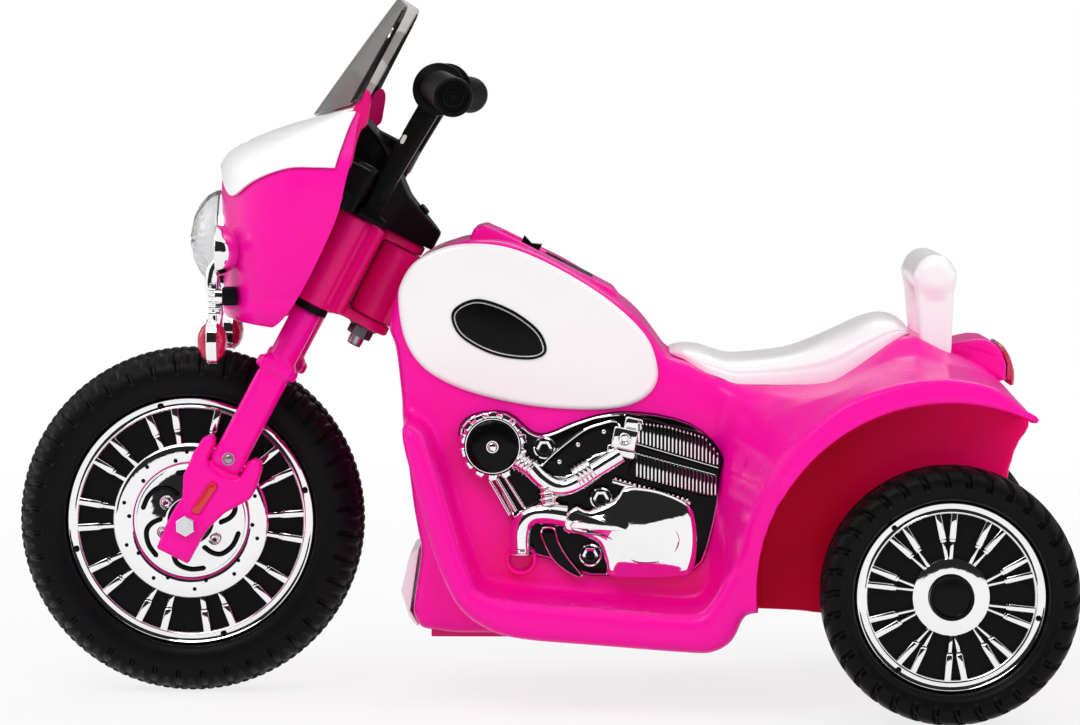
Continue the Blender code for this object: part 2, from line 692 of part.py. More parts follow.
SKIRT_INNER = [(0.174, 0.1800), (0.151, 0.1210), (0.141, 0.1030), (0.131, 0.0860), (0.115, 0.0770),
               (0.049, 0.0810), (-0.033, 0.0900), (-0.047, 0.1060), (-0.059, 0.1400),
               (-0.070, 0.1770), (-0.083, 0.2120)]
SEAT_STATIONS = [(0.1010, 0.2636, 0.2652, 0.040), (0.1130, 0.2596, 0.2670, 0.060),
                 (0.1240, 0.2524, 0.2660, 0.068), (0.1400, 0.2467, 0.2614, 0.074),
                 (0.1510, 0.2428, 0.2606, 0.0755), (0.1730, 0.2421, 0.2632, 0.076),
                 (0.1950, 0.2421, 0.2672, 0.076), (0.2240, 0.2441, 0.2777, 0.076),
                 (0.2460, 0.2561, 0.2868, 0.075), (0.2600, 0.2630, 0.2905, 0.074),
                 (0.2710, 0.2686, 0.2905, 0.072), (0.2830, 0.2697, 0.2850, 0.066),
                 (0.2880, 0.2690, 0.2770, 0.060)]


# A closed body through a row of sections, each an outline in Y and Z at one X.
def loft(sections):
    shape = bmesh.new()
    loops = [[shape.verts.new((x, y, z)) for y, z in outline] for x, outline in sections]
    count = len(loops[0])
    for lower, upper in zip(loops, loops[1:]):
        for i in range(count):
            shape.faces.new((lower[i], lower[(i + 1) % count], upper[(i + 1) % count], upper[i]))
    shape.faces.new(loops[0])
    shape.faces.new(loops[-1])
    bmesh.ops.triangulate(shape, faces=shape.faces)
    mesh = bpy.data.meshes.new("loft")
    shape.to_mesh(mesh)
    shape.free()
    return clean_mesh(mesh, 1e-7)


# The rear of the body, from the seat out to the crest over each wheel, or the hollow inside it.
def rear_mass(depth):
    sections = []
    for index, (x, half) in enumerate(REAR_SECTIONS):
        outline = half + [(-y, z) for y, z in reversed(half)]
        if index == len(REAR_SECTIONS) - 1:
            x -= depth
        sections.append((x, inset(outline, depth) if depth > 0.0 else outline))
    return loft(sections)


# The outer mass of the body, or with a depth the hollow inside it.
def body_mass(depth):
    spine = slab(inset(SPINE, depth), -(SPINE_HALF_WIDTH - depth), SPINE_HALF_WIDTH - depth,
                 SPINE_CHAMFER)
    pieces = [rear_mass(depth)]
    for side in (-1, 1):
        skirt = slab(inset(SKIRT_OUTER + SKIRT_INNER, depth), side * (SPINE_HALF_WIDTH - 0.008 - depth),
                     side * (SKIRT_HALF_WIDTH - depth), SKIRT_CHAMFER - 0.4 * depth)
        pieces.append(skirt)
    mass = join(spine, *pieces)
    arches = []
    for side in (-1, 1):
        arch = rod_across(ARCH_RADIUS + depth * 1.4, side * (ARCH_INNER - depth), side * 0.26,
                          ARCH_STEPS if depth == 0.0 else HOLLOW_STEPS)
        arch.transform(Matrix.Translation(REAR_AXLE))
        arches.append(arch)
    channel = slab([(-0.0535 - depth, 0.3480 - depth), (-0.0450, 0.3455 - depth), (-0.0190, 0.3430 - depth),
                    (0.0180, 0.3275 - depth), (0.0570, 0.3025 - depth), (0.0625 + depth, 0.2990 - depth),
                    (0.0625 + depth, 0.3600), (-0.0535 - depth, 0.3700)],
                   -(CONSOLE_HALF_WIDTH + GAP + depth), CONSOLE_HALF_WIDTH + GAP + depth)
    return cut(mass, arches[0], arches[1], channel)


# Body: one open-bottomed moulding with tank, flanks, footboards, arches and the steering neck.
def body_shell():
    mass = body_mass(0.0)
    neck = rod(NECK_RADIUS, YOKE_FLOOR + YOKE_PLATE + 0.0006, YOKE_FLOOR + YOKE_HEIGHT - YOKE_PLATE - 0.0006, ROUND_STEPS)
    web = box((0.0, -0.0125, YOKE_FLOOR + YOKE_PLATE + 0.0006),
              (0.030, 0.0125, YOKE_FLOOR + YOKE_HEIGHT - YOKE_PLATE - 0.0006))
    neck.transform(fork_to_vehicle())
    web.transform(fork_to_vehicle())
    rib = box((-0.0055, 0.096, 0.0), (0.0055, 0.150, 0.0030))
    right = scattered(rib, [shift(x, 0.0, z) for x, z in footboard_ribs() if x > PEDAL_CLEAR])
    left = mirrored(scattered(rib, [shift(x, 0.0, z) for x, z in footboard_ribs()]))
    mass = join(mass, neck, web, left, right)
    hollow = body_mass(WALL)
    mouth = [box((-0.0815, -0.0690, 0.0300), (0.1285, 0.0690, 0.0700)),
             box((0.1260, -0.0765, 0.0300), (0.1460, 0.0765, 0.0870)),
             box((0.1440, -0.1170, 0.0300), (0.3350, 0.1170, 0.0870)),
             box((-0.0310, -0.1570, 0.0300), (0.1270, 0.1570, 0.0655))]
    kingpin_bore = rod(clear(KINGPIN_RADIUS), -0.01, 0.10, ROUND_STEPS)
    kingpin_bore.transform(fork_to_vehicle())
    axle_bore = rod_across(clear(AXLE_RADIUS), -0.20, -0.10)
    dog_bore = rod_across(DOG_RADIUS + 0.0025, 0.10, 0.20, FINE_STEPS)
    axle_bore.transform(Matrix.Translation(REAR_AXLE))
    dog_bore.transform(Matrix.Translation(REAR_AXLE))
    console_bore = slab([(-0.020, 0.300), (0.040, 0.300), (0.040, 0.400), (-0.020, 0.400)], -0.020, 0.020)
    mass = cut(mass, hollow, *mouth)
    return cut(mass, kingpin_bore, axle_bore, dog_bore, console_bore)


# Centres of the raised blocks along the footboard, on its sloping top line.
def footboard_ribs():
    places = []
    for index in range(6):
        x = -0.018 + 0.0250 * index
        top = 0.0900 + (x + 0.033) / 0.082 * (-0.0090) if x < 0.049 else 0.0810 - (x - 0.049) / 0.066 * 0.0040
        places.append((x, top - 0.0006))
    return places


# Floor pan: a flat tray that closes the belly and carries the battery.
def floor_pan():
    low = 0.0490
    plate = box((-0.080, -0.066, low), (0.128, 0.066, low + 0.003))
    rims = [box((-0.080, -0.066, low + 0.001), (-0.077, 0.066, low + 0.014)),
            box((0.125, -0.066, low + 0.001), (0.128, 0.066, low + 0.014)),
            box((-0.079, -0.066, low + 0.001), (0.127, -0.063, low + 0.014)),
            box((-0.079, 0.063, low + 0.001), (0.127, 0.066, low + 0.014))]
    return join(plate, *rims)


def battery():
    low = 0.0523
    case = slab([(-0.010, low), (0.088, low), (0.088, low + 0.090), (-0.010, low + 0.090)], -0.034, 0.034, 0.002)
    posts = [box((0.010, -0.024, low + 0.089), (0.016, -0.016, low + 0.096)),
             box((0.010, 0.016, low + 0.089), (0.016, 0.024, low + 0.096))]
    return join(case, posts[0], posts[1])


EGG = [(-0.104, 0.306), (-0.101, 0.321), (-0.091, 0.335), (-0.072, 0.345), (-0.050, 0.3485), (-0.019, 0.3450),
       (0.018, 0.3290), (0.056, 0.3050), (0.082, 0.2800), (0.091, 0.2580), (0.090, 0.2420), (0.078, 0.2300),
       (0.056, 0.2240), (0.018, 0.2240), (-0.020, 0.2290), (-0.057, 0.2390), (-0.084, 0.2540), (-0.099, 0.2760)]


# Tank panel: an egg-shaped white shell on the left flank, bulging outward.
def tank_panel():
    face = SPINE_HALF_WIDTH + GAP
    layers = [(0.0, 0.0), (0.0, 0.0025), (0.0035, 0.0050), (0.0110, 0.0072), (0.0260, 0.0088)]
    rings = []
    for distance, depth in layers:
        ring = inset(EGG, distance)
        rings.append([(x, -(face + depth), z) for x, z in ring])
    shape = bmesh.new()
    loops = [[shape.verts.new(point) for point in ring] for ring in rings]
    count = len(EGG)
    for lower, upper in zip(loops, loops[1:]):
        for i in range(count):
            shape.faces.new((lower[i], lower[(i + 1) % count], upper[(i + 1) % count], upper[i]))
    shape.faces.new(loops[0])
    shape.faces.new(loops[-1])
    mesh = bpy.data.meshes.new("egg")
    shape.to_mesh(mesh)
    shape.free()
    mesh = clean_mesh(mesh, 1e-7)
    hollow = slab(inset(EGG, 0.006), -(face + 0.0022), -(face - OVERRUN))
    return cut(mesh, hollow)


ENGINE_BACK = [(-0.059, 0.2060), (-0.048, 0.2200), (-0.022, 0.2220), (-0.004, 0.2060), (0.020, 0.2040),
               (0.052, 0.2210), (0.078, 0.2230), (0.116, 0.2140), (0.140, 0.1920), (0.140, 0.1660),
               (0.132, 0.1250), (0.118, 0.1000), (0.078, 0.1000), (0.041, 0.0975), (0.016, 0.1080),
               (-0.012, 0.1180), (-0.018, 0.1400), (-0.034, 0.1720), (-0.050, 0.1800)]


# Black plate that carries the dummy engine on the left flank.
def engine_backplate():
    face = SPINE_HALF_WIDTH + GAP
    return slab(inset(ENGINE_BACK, 0.0015), -(face + 0.0040), -face, 0.0008)


# Outline of a bank of cooling fins: long teeth that stand up from a common root line.
def fin_bank(x_from, x_to, root_z, tops, count):
    pitch = (x_to - x_from) / count
    outline = [(x_from, root_z[0])]
    for i in range(count):
        share = (i + 0.5) / count
        top = tops[0] + (tops[1] - tops[0]) * share
        low = root_z[0] + (root_z[1] - root_z[0]) * share + 0.003
        left = x_from + pitch * (i + 0.18)
        right = x_from + pitch * (i + 0.82)
        outline += [(left, low), (left, top), (right, top), (right, low)]
    return outline + [(x_to, root_z[1]), (x_to, root_z[1] - 0.004), (x_from, root_z[0] - 0.004)]


# Plated dummy engine: air cleaner, intake elbow, two fin banks, exhaust elbow and side cover.
def engine_trim():
    back = SPINE_HALF_WIDTH + GAP + 0.0040 + GAP
    sheet = slab(inset(ENGINE_BACK, 0.0045), -(back + 0.0020), -back)
    cleaner = mirrored(turned_across([(0.0, back + 0.0140), (0.0185, back + 0.0160), (0.0262, back + 0.0120),
                                      (0.0262, back), (0.0, back)], FINE_STEPS))
    cleaner.transform(shift(-0.0325, 0.0, 0.1975))
    upper = slab(fin_bank(0.0660, 0.1200, (0.1930, 0.1800), (0.2140, 0.2030), 9),
                 -(back + 0.0115), -(back + 0.0010))
    lower = slab(fin_bank(0.0600, 0.1240, (0.1680, 0.1560), (0.1890, 0.1760), 9),
                 -(back + 0.0130), -(back + 0.0010))
    cover = slab([(0.022, 0.1420), (0.052, 0.1640), (0.092, 0.1600), (0.118, 0.1420), (0.122, 0.1160),
                  (0.112, 0.1035), (0.052, 0.1030), (0.030, 0.1120)], -(back + 0.0150), -(back + 0.0010), 0.0045)
    intake = bar([(-0.020, -(back + 0.0070), 0.1880), (0.004, -(back + 0.0088), 0.1730),
                  (0.026, -(back + 0.0090), 0.1740), (0.064, -(back + 0.0085), 0.2010)], 0.0068, 1)
    exhaust = bar([(-0.010, -(back + 0.0075), 0.1190), (-0.010, -(back + 0.0080), 0.1420),
                   (0.004, -(back + 0.0088), 0.1530), (0.034, -(back + 0.0090), 0.1500)], 0.0072, 1)
    return join(sheet, cleaner, upper, lower, cover, intake, exhaust)


# Raised cover along the top of the tank, with a seat for the switch and for the charging socket.
def tank_console():
    base = [(-0.0530, 0.3484), (-0.0450, 0.3460), (-0.0190, 0.3434), (0.0180, 0.3279), (0.0570, 0.3029),
            (0.0620, 0.2996)]
    top = [(0.0620, 0.3060), (0.0570, 0.3125), (-0.0400, 0.3610), (-0.0480, 0.3590)]
    mesh = slab(base + top, -CONSOLE_HALF_WIDTH, CONSOLE_HALF_WIDTH)
    room = box((-0.0085, -0.0075, -0.030), (0.0085, 0.0075, 0.010))
    room.transform(console_frame(0.0))
    socket_room = rod(clear(0.0060), -0.030, 0.010, ROUND_STEPS)
    socket_room.transform(console_frame(0.0210))
    recess = box((0.0130, -0.030, -0.0015), (0.0540, 0.030, 0.010))
    recess.transform(console_frame(0.0))
    return cut(mesh, room, socket_room, recess)


SWITCH_POINT = Vector((-0.0060, 0.0, 0.3440))
CONSOLE_SLOPE = math.atan2(0.0485, 0.0970)


# The sloping top of the console: X runs back along the slope, Z stands off it.
def console_frame(along):
    return (Matrix.Translation(SWITCH_POINT) @ Matrix.Rotation(CONSOLE_SLOPE, 4, "Y")
            @ Matrix.Translation((along, 0.0, 0.0)))


def console_panel():
    plate = box((0.0133, -0.0297, -0.0015 + GAP), (0.0537, 0.0297, 0.0006))
    plate.transform(console_frame(0.0))
    hole = rod(clear(0.0060), -0.030, 0.010, ROUND_STEPS)
    hole.transform(console_frame(0.0210))
    return cut(plate, hole)


def charging_socket():
    mesh = turned([(0.0, -0.0100), (0.0022, -0.0100), (0.0022, -0.0020), (0.0042, -0.0020),
                   (0.0042, 0.0012), (0.0082, 0.0012), (0.0082, 0.0009), (0.0060, 0.0009),
                   (0.0060, -0.0125), (0.0, -0.0125)], ROUND_STEPS)
    mesh.transform(console_frame(0.0210))
    return mesh


# Rocker switch: its two halves rise from a middle crease; it rocks about the Y axis.
def rocker_switch():
    outline = [(-0.0078, 0.0052), (0.0, 0.0022), (0.0078, 0.0052), (0.0074, -0.0030), (0.0030, -0.0060),
               (-0.0030, -0.0060), (-0.0074, -0.0030)]
    mesh = slab(outline, -0.0068, 0.0068, 0.0004)
    mesh.transform(console_frame(0.0))
    return mesh


# Seat: a white shell with its rim on the body, its crown falling to the sides.
def seat():
    columns = 11
    outer = []
    inner = []
    for x, base, top, width in SEAT_STATIONS:
        row = []
        under = []
        for j in range(columns):
            across = -1.0 + 2.0 * j / (columns - 1)
            fall = (1.0 - abs(across) ** 3.0) ** 0.5
            dish = 0.0022 * math.cos(across * math.pi) * (1.0 if 0.13 < x < 0.26 else 0.3)
            z = base + (top - base) * fall - max(0.0, dish) * fall
            row.append((x, across * width, z))
            thin = min(WALL, max(0.0004, (z - base) * 0.45))
            lean = 1.0 - WALL / width
            under.append((x, across * width * lean, z - thin if 0 < j < columns - 1 else base))
        outer.append(row)
        inner.append(under)
    return shell_between(outer, inner)


# Grab bar behind the seat: two flat legs into a thick rounded cross bar.
def backrest():
    crossbar = turned_across([(0.0, 0.0850), (0.0090, 0.0820), (0.0145, 0.0760), (0.0165, 0.0660),
                              (0.0165, -0.0660), (0.0145, -0.0760), (0.0090, -0.0820), (0.0, -0.0850)], ROUND_STEPS)
    crossbar.transform(shift(0.2970, 0.0, 0.3245))
    legs = []
    for side in (-1, 1):
        outline = [(0.2935, 0.2560), (0.3120, 0.2560), (0.3125, 0.3080), (0.3130, 0.3240), (0.2810, 0.3240),
                   (0.2930, 0.3060)]
        legs.append(slab(outline, side * 0.0640, side * 0.0800, 0.002))
    mesh = join(crossbar, legs[0], legs[1])
    return mesh


def backrest_rooms():
    rooms = []
    for side in (-1, 1):
        rooms.append(box((0.2935 - GAP, side * 0.072 - 0.008 - GAP, 0.2560 - GAP),
                         (0.3125 + GAP, side * 0.072 + 0.008 + GAP, 0.290)))
    return rooms


def tail_lamp_housing():
    outline = [(0.2990, 0.2650), (0.3180, 0.2720), (0.3330, 0.2750), (0.3420, 0.2745), (0.3500, 0.2700),
               (0.3570, 0.2560), (0.3570, 0.2420), (0.3520, 0.2431), (0.3410, 0.2512), (0.3300, 0.2566),
               (0.3040, 0.2628), (0.3012, 0.2637)]
    return slab(outline, -0.048, 0.048, 0.0008)


def tail_lamp_lens():
    outline = [(0.3504, 0.2700), (0.3535, 0.2705), (0.3595, 0.2620), (0.3635, 0.2480), (0.3625, 0.2385),
               (0.3573, 0.2415), (0.3573, 0.2562)]
    return slab(outline, -0.044, 0.044, 0.0008)


def front_lower_cover():
    outline = [(-0.0895, 0.1160), (-0.0970, 0.1100), (-0.1035, 0.0830), (-0.0975, 0.0640), (-0.0915, 0.0560),
               (-0.0900, 0.0570), (-0.0965, 0.0680)]
    return slab(outline, -0.058, 0.058, 0.0005)


# Half-breadth, front line and rear line of the fairing at successive heights, bottom to top.
FAIRING = [((-0.2060, 0.2960), (-0.1980, 0.2950), 0.0780), ((-0.2140, 0.2930), (-0.1900, 0.2930), 0.0860),
           ((-0.2245, 0.3100), (-0.1740, 0.3110), 0.0990), ((-0.2320, 0.3380), (-0.1590, 0.3370), 0.1120),
           ((-0.2350, 0.3720), (-0.1480, 0.3720), 0.1190), ((-0.2355, 0.3990), (-0.1440, 0.3970), 0.1220),
           ((-0.2290, 0.4130), (-0.1420, 0.4110), 0.1200), ((-0.2120, 0.4240), (-0.1400, 0.4240), 0.1160),
           ((-0.1850, 0.4350), (-0.1375, 0.4370), 0.1120), ((-0.1520, 0.4440), (-0.1330, 0.4500), 0.1080)]
FAIRING_COLUMNS = 15


# A point of the fairing's skin: across runs from -1 to 1, row counts the heights, both may be fractions.
def fairing_point(across, row):
    low = min(int(row), len(FAIRING) - 2)
    part = row - low
    values = []
    for index in (low, low + 1):
        (xc, zc), (xe, ze), width = FAIRING[index]
        swing = abs(math.cos(across * math.pi / 2)) ** 0.75
        values.append(Vector((xe + (xc - xe) * swing, width * math.sin(across * math.pi / 2),
                              ze + (zc - ze) * swing)))
    return values[0].lerp(values[1], part)


def fairing_normal(across, row):
    step_a = 0.02
    step_r = 0.10
    low_r = max(0.0, row - step_r)
    high_r = min(len(FAIRING) - 1.0, row + step_r)
    low_a = max(-0.99, across - step_a)
    high_a = min(0.99, across + step_a)
    along = fairing_point(high_a, row) - fairing_point(low_a, row)
    up = fairing_point(across, high_r) - fairing_point(across, low_r)
    return up.cross(along).normalized()


# Fairing: a thin bowl open at the back, with a round opening for the headlight.
def fairing():
    rows = len(FAIRING)
    outer = []
    inner = []
    for i in range(rows):
        row = []
        under = []
        for j in range(FAIRING_COLUMNS):
            across = -1.0 + 2.0 * j / (FAIRING_COLUMNS - 1)
            point = fairing_point(across, float(i))
            normal = fairing_normal(across, float(i))
            row.append(point)
            under.append(point - normal * FAIRING_WALL)
        outer.append(row)
        inner.append(under)
    mesh = shell_between(outer, inner)
    lamp = turned_forward([(0.0, 0.30), (HEADLIGHT_RADIUS + 0.0013, 0.30), (HEADLIGHT_RADIUS + 0.0013, 0.19),
                           (0.0, 0.19)], FINE_STEPS)
    lamp.transform(shift(0.0, 0.0, HEADLIGHT_Z))
    return cut(mesh, lamp)


# Lower edge of the white cover, as a row number of the fairing for each position across.
def cover_edge(across):
    side = abs(across)
    if side < 0.35:
        return 5.35
    if side < 0.60:
        return 5.35 - 0.85 * math.sin((side - 0.35) / 0.25 * math.pi / 2)
    return 4.50 + 1.10 * min(1.0, (side - 0.60) / 0.28)


def fairing_cover():
    outer = []
    inner = []
    columns = [-1.0 + 2.0 * j / (FAIRING_COLUMNS - 1) for j in range(1, FAIRING_COLUMNS - 1)]
    rows = 6
    for i in range(rows):
        row = []
        under = []
        for across in columns:
            low = cover_edge(across)
            middle = 5.0 if low < 4.95 else (low + 6.0) / 2
            at = (low, middle, 6.0, 7.0, 8.0, COVER_TOP)[i]
            point = fairing_point(across, at)
            normal = fairing_normal(across, at)
            lift = COVER_WALL if 0 < i < rows - 1 else COVER_WALL * 0.7
            row.append(point + normal * (COVER_STAND + lift))
            under.append(point + normal * COVER_STAND)
        outer.append(row)
        inner.append(under)
    return shell_between(outer, inner)


# Where a column of the windscreen meets the cover, measured up the raked frame.
def screen_foot(y, u):
    across = math.asin(min(1.0, abs(y) / FAIRING[8][2])) * 2.0 / math.pi
    start = fairing_point(across, 8.0)
    run = fairing_point(across, 9.0) - start
    away = start - (DRAWN_POINT + u * LEAN_U)
    return (away.x * run.z - away.z * run.x) / (LEAN_V.x * run.z - LEAN_V.z * run.x) + SCREEN_STAND


# Windscreen in the raked frame: a curved sheet that leans with the fork, its top corners round.
def windscreen():
    columns = 11
    rows = 6
    outer = []
    inner = []
    for i in range(rows):
        height = i / (rows - 1)
        row = []
        under = []
        for j in range(columns):
            across = -1.0 + 2.0 * j / (columns - 1)
            round_off = max(0.0, abs(across) - 0.55) / 0.45
            half = 0.1120 - 0.0080 * height
            foot_y = 0.1120 * math.sin(across * math.pi / 2 * 0.92) / math.sin(math.pi / 2 * 0.92)
            bottom = screen_foot(foot_y, -0.0850 - 0.0300 * (1.0 - (foot_y / 0.1120) ** 2))
            top = 0.2410 - 0.0100 * across * across - 0.0280 * round_off ** 3
            v = bottom + (top - bottom) * height
            y = half * math.sin(across * math.pi / 2 * 0.92) / math.sin(math.pi / 2 * 0.92)
            bulge = (0.0300 - 0.0160 * height) * (1.0 - (y / half) ** 2)
            u = -0.0850 - bulge
            slope = 2.0 * (0.0300 - 0.0160 * height) * y / (half * half)
            normal = Vector((-1.0, slope, 0.0)).normalized()
            row.append(Vector((u, y, v)))
            under.append(Vector((u, y, v)) - normal * SCREEN_THICKNESS)
        outer.append(row)
        inner.append(under)
    return shell_between(outer, inner)


# Reflector bowl and plated ring of the headlight; its axis points forward.
def headlight_ring():
    rim = HEADLIGHT_RADIUS + 0.0010
    face = -HEADLIGHT_FACE
    profile = [(0.0, face - 0.0270), (0.010, face - 0.0270), (rim - 0.0045, face - 0.0060),
               (rim - 0.0045, face + 0.0030), (rim, face + 0.0030), (rim, face - 0.0240),
               (0.010, face - 0.0290), (0.0, face - 0.0290)]
    mesh = turned_forward(profile, FINE_STEPS)
    mesh.transform(shift(0.0, 0.0, HEADLIGHT_Z))
    return mesh


def headlight_lens():
    face = -HEADLIGHT_FACE
    radius = HEADLIGHT_RADIUS + 0.0010
    profile = [(0.0, face + 0.0262), (radius * 0.42, face + 0.0235), (radius * 0.75, face + 0.0165),
               (radius * 0.95, face + 0.0075), (radius, face + 0.0033), (radius - 0.0022, face + 0.0033),
               (radius * 0.93 - 0.0020, face + 0.0065), (radius * 0.72, face + 0.0150),
               (radius * 0.40, face + 0.0213), (0.0, face + 0.0240)]
    mesh = turned_forward(profile, FINE_STEPS)
    mesh.transform(shift(0.0, 0.0, HEADLIGHT_Z))
    return mesh


# Plated bracket on the left: the passing lamp's cup above, a strip down to the turn lamp's band.
def lamp_bracket():
    cup = turned_forward([(0.0, 0.2370), (0.0165, 0.2370), (0.0165, 0.2410), (LAMP_RADIUS, 0.2410),
                          (LAMP_RADIUS, 0.2360), (0.0130, 0.2270), (0.0060, 0.2235), (0.0, 0.2235)], ROUND_STEPS)
    cup.transform(shift(0.0, -LAMP_Y, LAMP_Z))
    strip = slab([(-0.2425, 0.3330), (-0.2425, 0.2945), (-0.2465, 0.2904), (-0.2425, 0.2904), (-0.2385, 0.2945),
                  (-0.2385, 0.3330)], -LAMP_Y - 0.006, -LAMP_Y + 0.006)
    band = turned_across([(0.0140, -0.0040), (0.0180, -0.0040), (0.0180, 0.0040), (0.0140, 0.0040)], ROUND_STEPS)
    band.transform(Matrix.Diagonal((0.72, 1.0, 1.0, 1.0)))
    band.transform(shift(-0.2450, -LAMP_Y, 0.2740))
    foot = box((-0.2400, -LAMP_Y - 0.0060, 0.2960), (-0.2125, -LAMP_Y + 0.0060, 0.3060))
    return join(cup, strip, band, foot)


# Turn lamp held by the bracket's band: a flattened bulb, waisted where the band grips it.
def turn_lamp():
    inner = 0.0140 - GAP
    profile = [(0.0, 0.0150), (0.0090, 0.0130), (0.0150, 0.0085), (0.0158, 0.0043), (inner, 0.0043),
               (inner, -0.0043), (0.0158, -0.0043), (0.0150, -0.0085), (0.0090, -0.0130), (0.0, -0.0150)]
    mesh = turned_across(profile, ROUND_STEPS)
    mesh.transform(Matrix.Diagonal((0.72, 1.0, 1.0, 1.0)))
    mesh.transform(shift(-0.2450, -LAMP_Y, 0.2740))
    return mesh


# Dash in the raked frame: a plate across the back of the fairing and a hollow wedge towards the rider.
def dash_pod():
    floor = YOKE_FLOOR + YOKE_HEIGHT + GAP
    plate = box((-0.0590, -0.0960, floor + 0.0100), (-0.0540, 0.0960, 0.1420))

    def wedge(depth, low):
        points = []
        for u, width, top in ((-0.0560, 0.0460, 0.1400), (-0.0440, 0.0440, 0.1330), (-0.0150, 0.0330, 0.1120),
                              (0.0160, 0.0150, 0.0990), (0.0210, 0.0090, 0.0975)):
            shrink = depth if u > 0.0 else 0.0
            for side in (-1, 1):
                points.append((u - shrink, side * (width - depth), low + (0.0 if u < -0.02 else 0.0060)
                               * (1.0 if depth == 0.0 else 0.0)))
                points.append((u - shrink, side * (width - depth) * 0.82, top - depth))
        return hull(points)

    base = box((-0.0560, -0.0460, floor), (-0.0240, 0.0460, floor + 0.0200))
    pod = turned([(0.0, 0.1450), (0.0180, 0.1450), (0.0210, 0.1430), (0.0210, 0.1300), (0.0, 0.1300)], ROUND_STEPS)
    pod.transform(shift(-0.0440, 0.0, 0.0))
    boss = rod(0.0075, floor + 0.0100, 0.1320, ROUND_STEPS)
    bosses = [moved(boss, shift(-0.0500, side * 0.0800, 0.0)) for side in (-1, 1)]
    ears = [box((-0.0585, side * 0.0950, 0.0700), (-0.0545, side * 0.1141, 0.0920)) for side in (-1, 1)]
    mesh = join(plate, wedge(0.0, floor), base, pod, bosses[0], bosses[1], ears[0], ears[1])
    room = wedge(WALL, floor - 0.010)
    keep = box((-0.0520, -0.0430, floor - 0.020), (0.0300, 0.0430, floor + 0.0180))
    hollow = combine(room, [keep], "INTERSECT")
    bore = join(rod(clear(0.0045), -0.030, 0.030, ROUND_STEPS), rod(0.0068, -0.020, -0.0033, ROUND_STEPS))
    bores = [moved(bore, button_frame(side)) for side in (-1, 1)]
    return cut(mesh, hollow, bores[0], bores[1])


BUTTON_U = -0.0010
BUTTON_Y = 0.0085
BUTTON_V = 0.1056
BUTTON_SLOPE = math.atan2(0.1120 - 0.0990, 0.0310)


# A dash button's own axis: Z stands off the wedge's sloping back.
def button_frame(side):
    return (Matrix.Translation((BUTTON_U, side * BUTTON_Y, BUTTON_V)) @ Matrix.Rotation(BUTTON_SLOPE, 4, "Y"))


def dash_button(side):
    mesh = turned([(0.0, 0.0035), (0.0036, 0.0035), (0.0045, 0.0026), (0.0045, -0.0037), (0.0058, -0.0037),
                   (0.0058, -0.0050), (0.0, -0.0050)], ROUND_STEPS)
    mesh.transform(button_frame(side))
    return mesh


# Handlebar in the raked frame: two arms that rise beside the dash to a bar for each grip.
def handlebar():
    base = YOKE_FLOOR + YOKE_HEIGHT + GAP
    low = BAR_U - 0.0240
    outline = [(low + 0.0040, base), (low + 0.0200, base), (low + 0.0240, base + 0.0080),
               (low + 0.0240, BAR_HEIGHT - 0.012), (BAR_U + 0.0100, BAR_HEIGHT - 0.008),
               (BAR_U + 0.0110, BAR_HEIGHT + 0.004), (BAR_U + 0.0040, BAR_HEIGHT + 0.0110),
               (BAR_U - 0.0060, BAR_HEIGHT + 0.0100), (low + 0.0020, BAR_HEIGHT - 0.0020), (low, BAR_HEIGHT - 0.016),
               (low, base + 0.0060)]
    arms = []
    for side in (-1, 1):
        arms.append(slab(outline, side * (ARM_Y - ARM_WIDTH / 2), side * (ARM_Y + ARM_WIDTH / 2), 0.0025))
    stem = rod_across(BAR_RADIUS, -(GRIP_END - 0.008), GRIP_END - 0.008, ROUND_STEPS)
    stem.transform(shift(BAR_U, 0.0, BAR_HEIGHT))
    return join(arms[0], arms[1], stem)


# Grip on the left: a broad flange next to the arm, a ribbed sleeve and a closed end.
def grip():
    start = ARM_Y + ARM_WIDTH / 2 + GAP
    profile = [(0.0, GRIP_END - 0.0075), (BAR_RADIUS + GAP, GRIP_END - 0.0075), (BAR_RADIUS + GAP, start),
               (0.0200, start), (0.0200, start + 0.0045), (0.0150, start + 0.0075)]
    sleeve = (GRIP_END - 0.014 - start - 0.0100) / 2
    for ring in range(2):
        at = start + 0.0120 + ring * sleeve
        profile += [(GRIP_RADIUS, at), (GRIP_RADIUS + 0.0012, at + sleeve * 0.55)]
    profile += [(GRIP_RADIUS, GRIP_END - 0.0050), (0.0145, GRIP_END - 0.0040), (0.0145, GRIP_END - 0.0010),
                (0.0, GRIP_END)]
    mesh = mirrored(turned_across(profile, ROUND_STEPS))
    mesh.transform(shift(BAR_U, 0.0, BAR_HEIGHT))
    return mesh


PEDAL_PIN = 0.0025
PEDAL_AXIS = Vector((-0.0080, 0.0, 0.0992))


# Accelerator pedal on the right footboard: a ribbed plate on two short trunnions.
def accelerator_pedal():
    plate = slab([(-0.0040, -0.0030), (0.0040, -0.0030), (0.0580, 0.0020), (0.0580, 0.0050), (0.0040, 0.0035),
                  (-0.0040, 0.0035)], 0.1030, 0.1470, 0.0008)
    pin = rod_across(PEDAL_PIN, 0.0955, 0.1545, ROUND_STEPS)
    ribs = scattered(box((-0.0015, 0.1060, 0.0030), (0.0015, 0.1440, 0.0065)),
                     [shift(0.0150 + 0.0110 * i, 0.0, 0.0003 * i) for i in range(4)])
    mesh = join(plate, pin, ribs)
    mesh.transform(Matrix.Translation(PEDAL_AXIS))
    return mesh


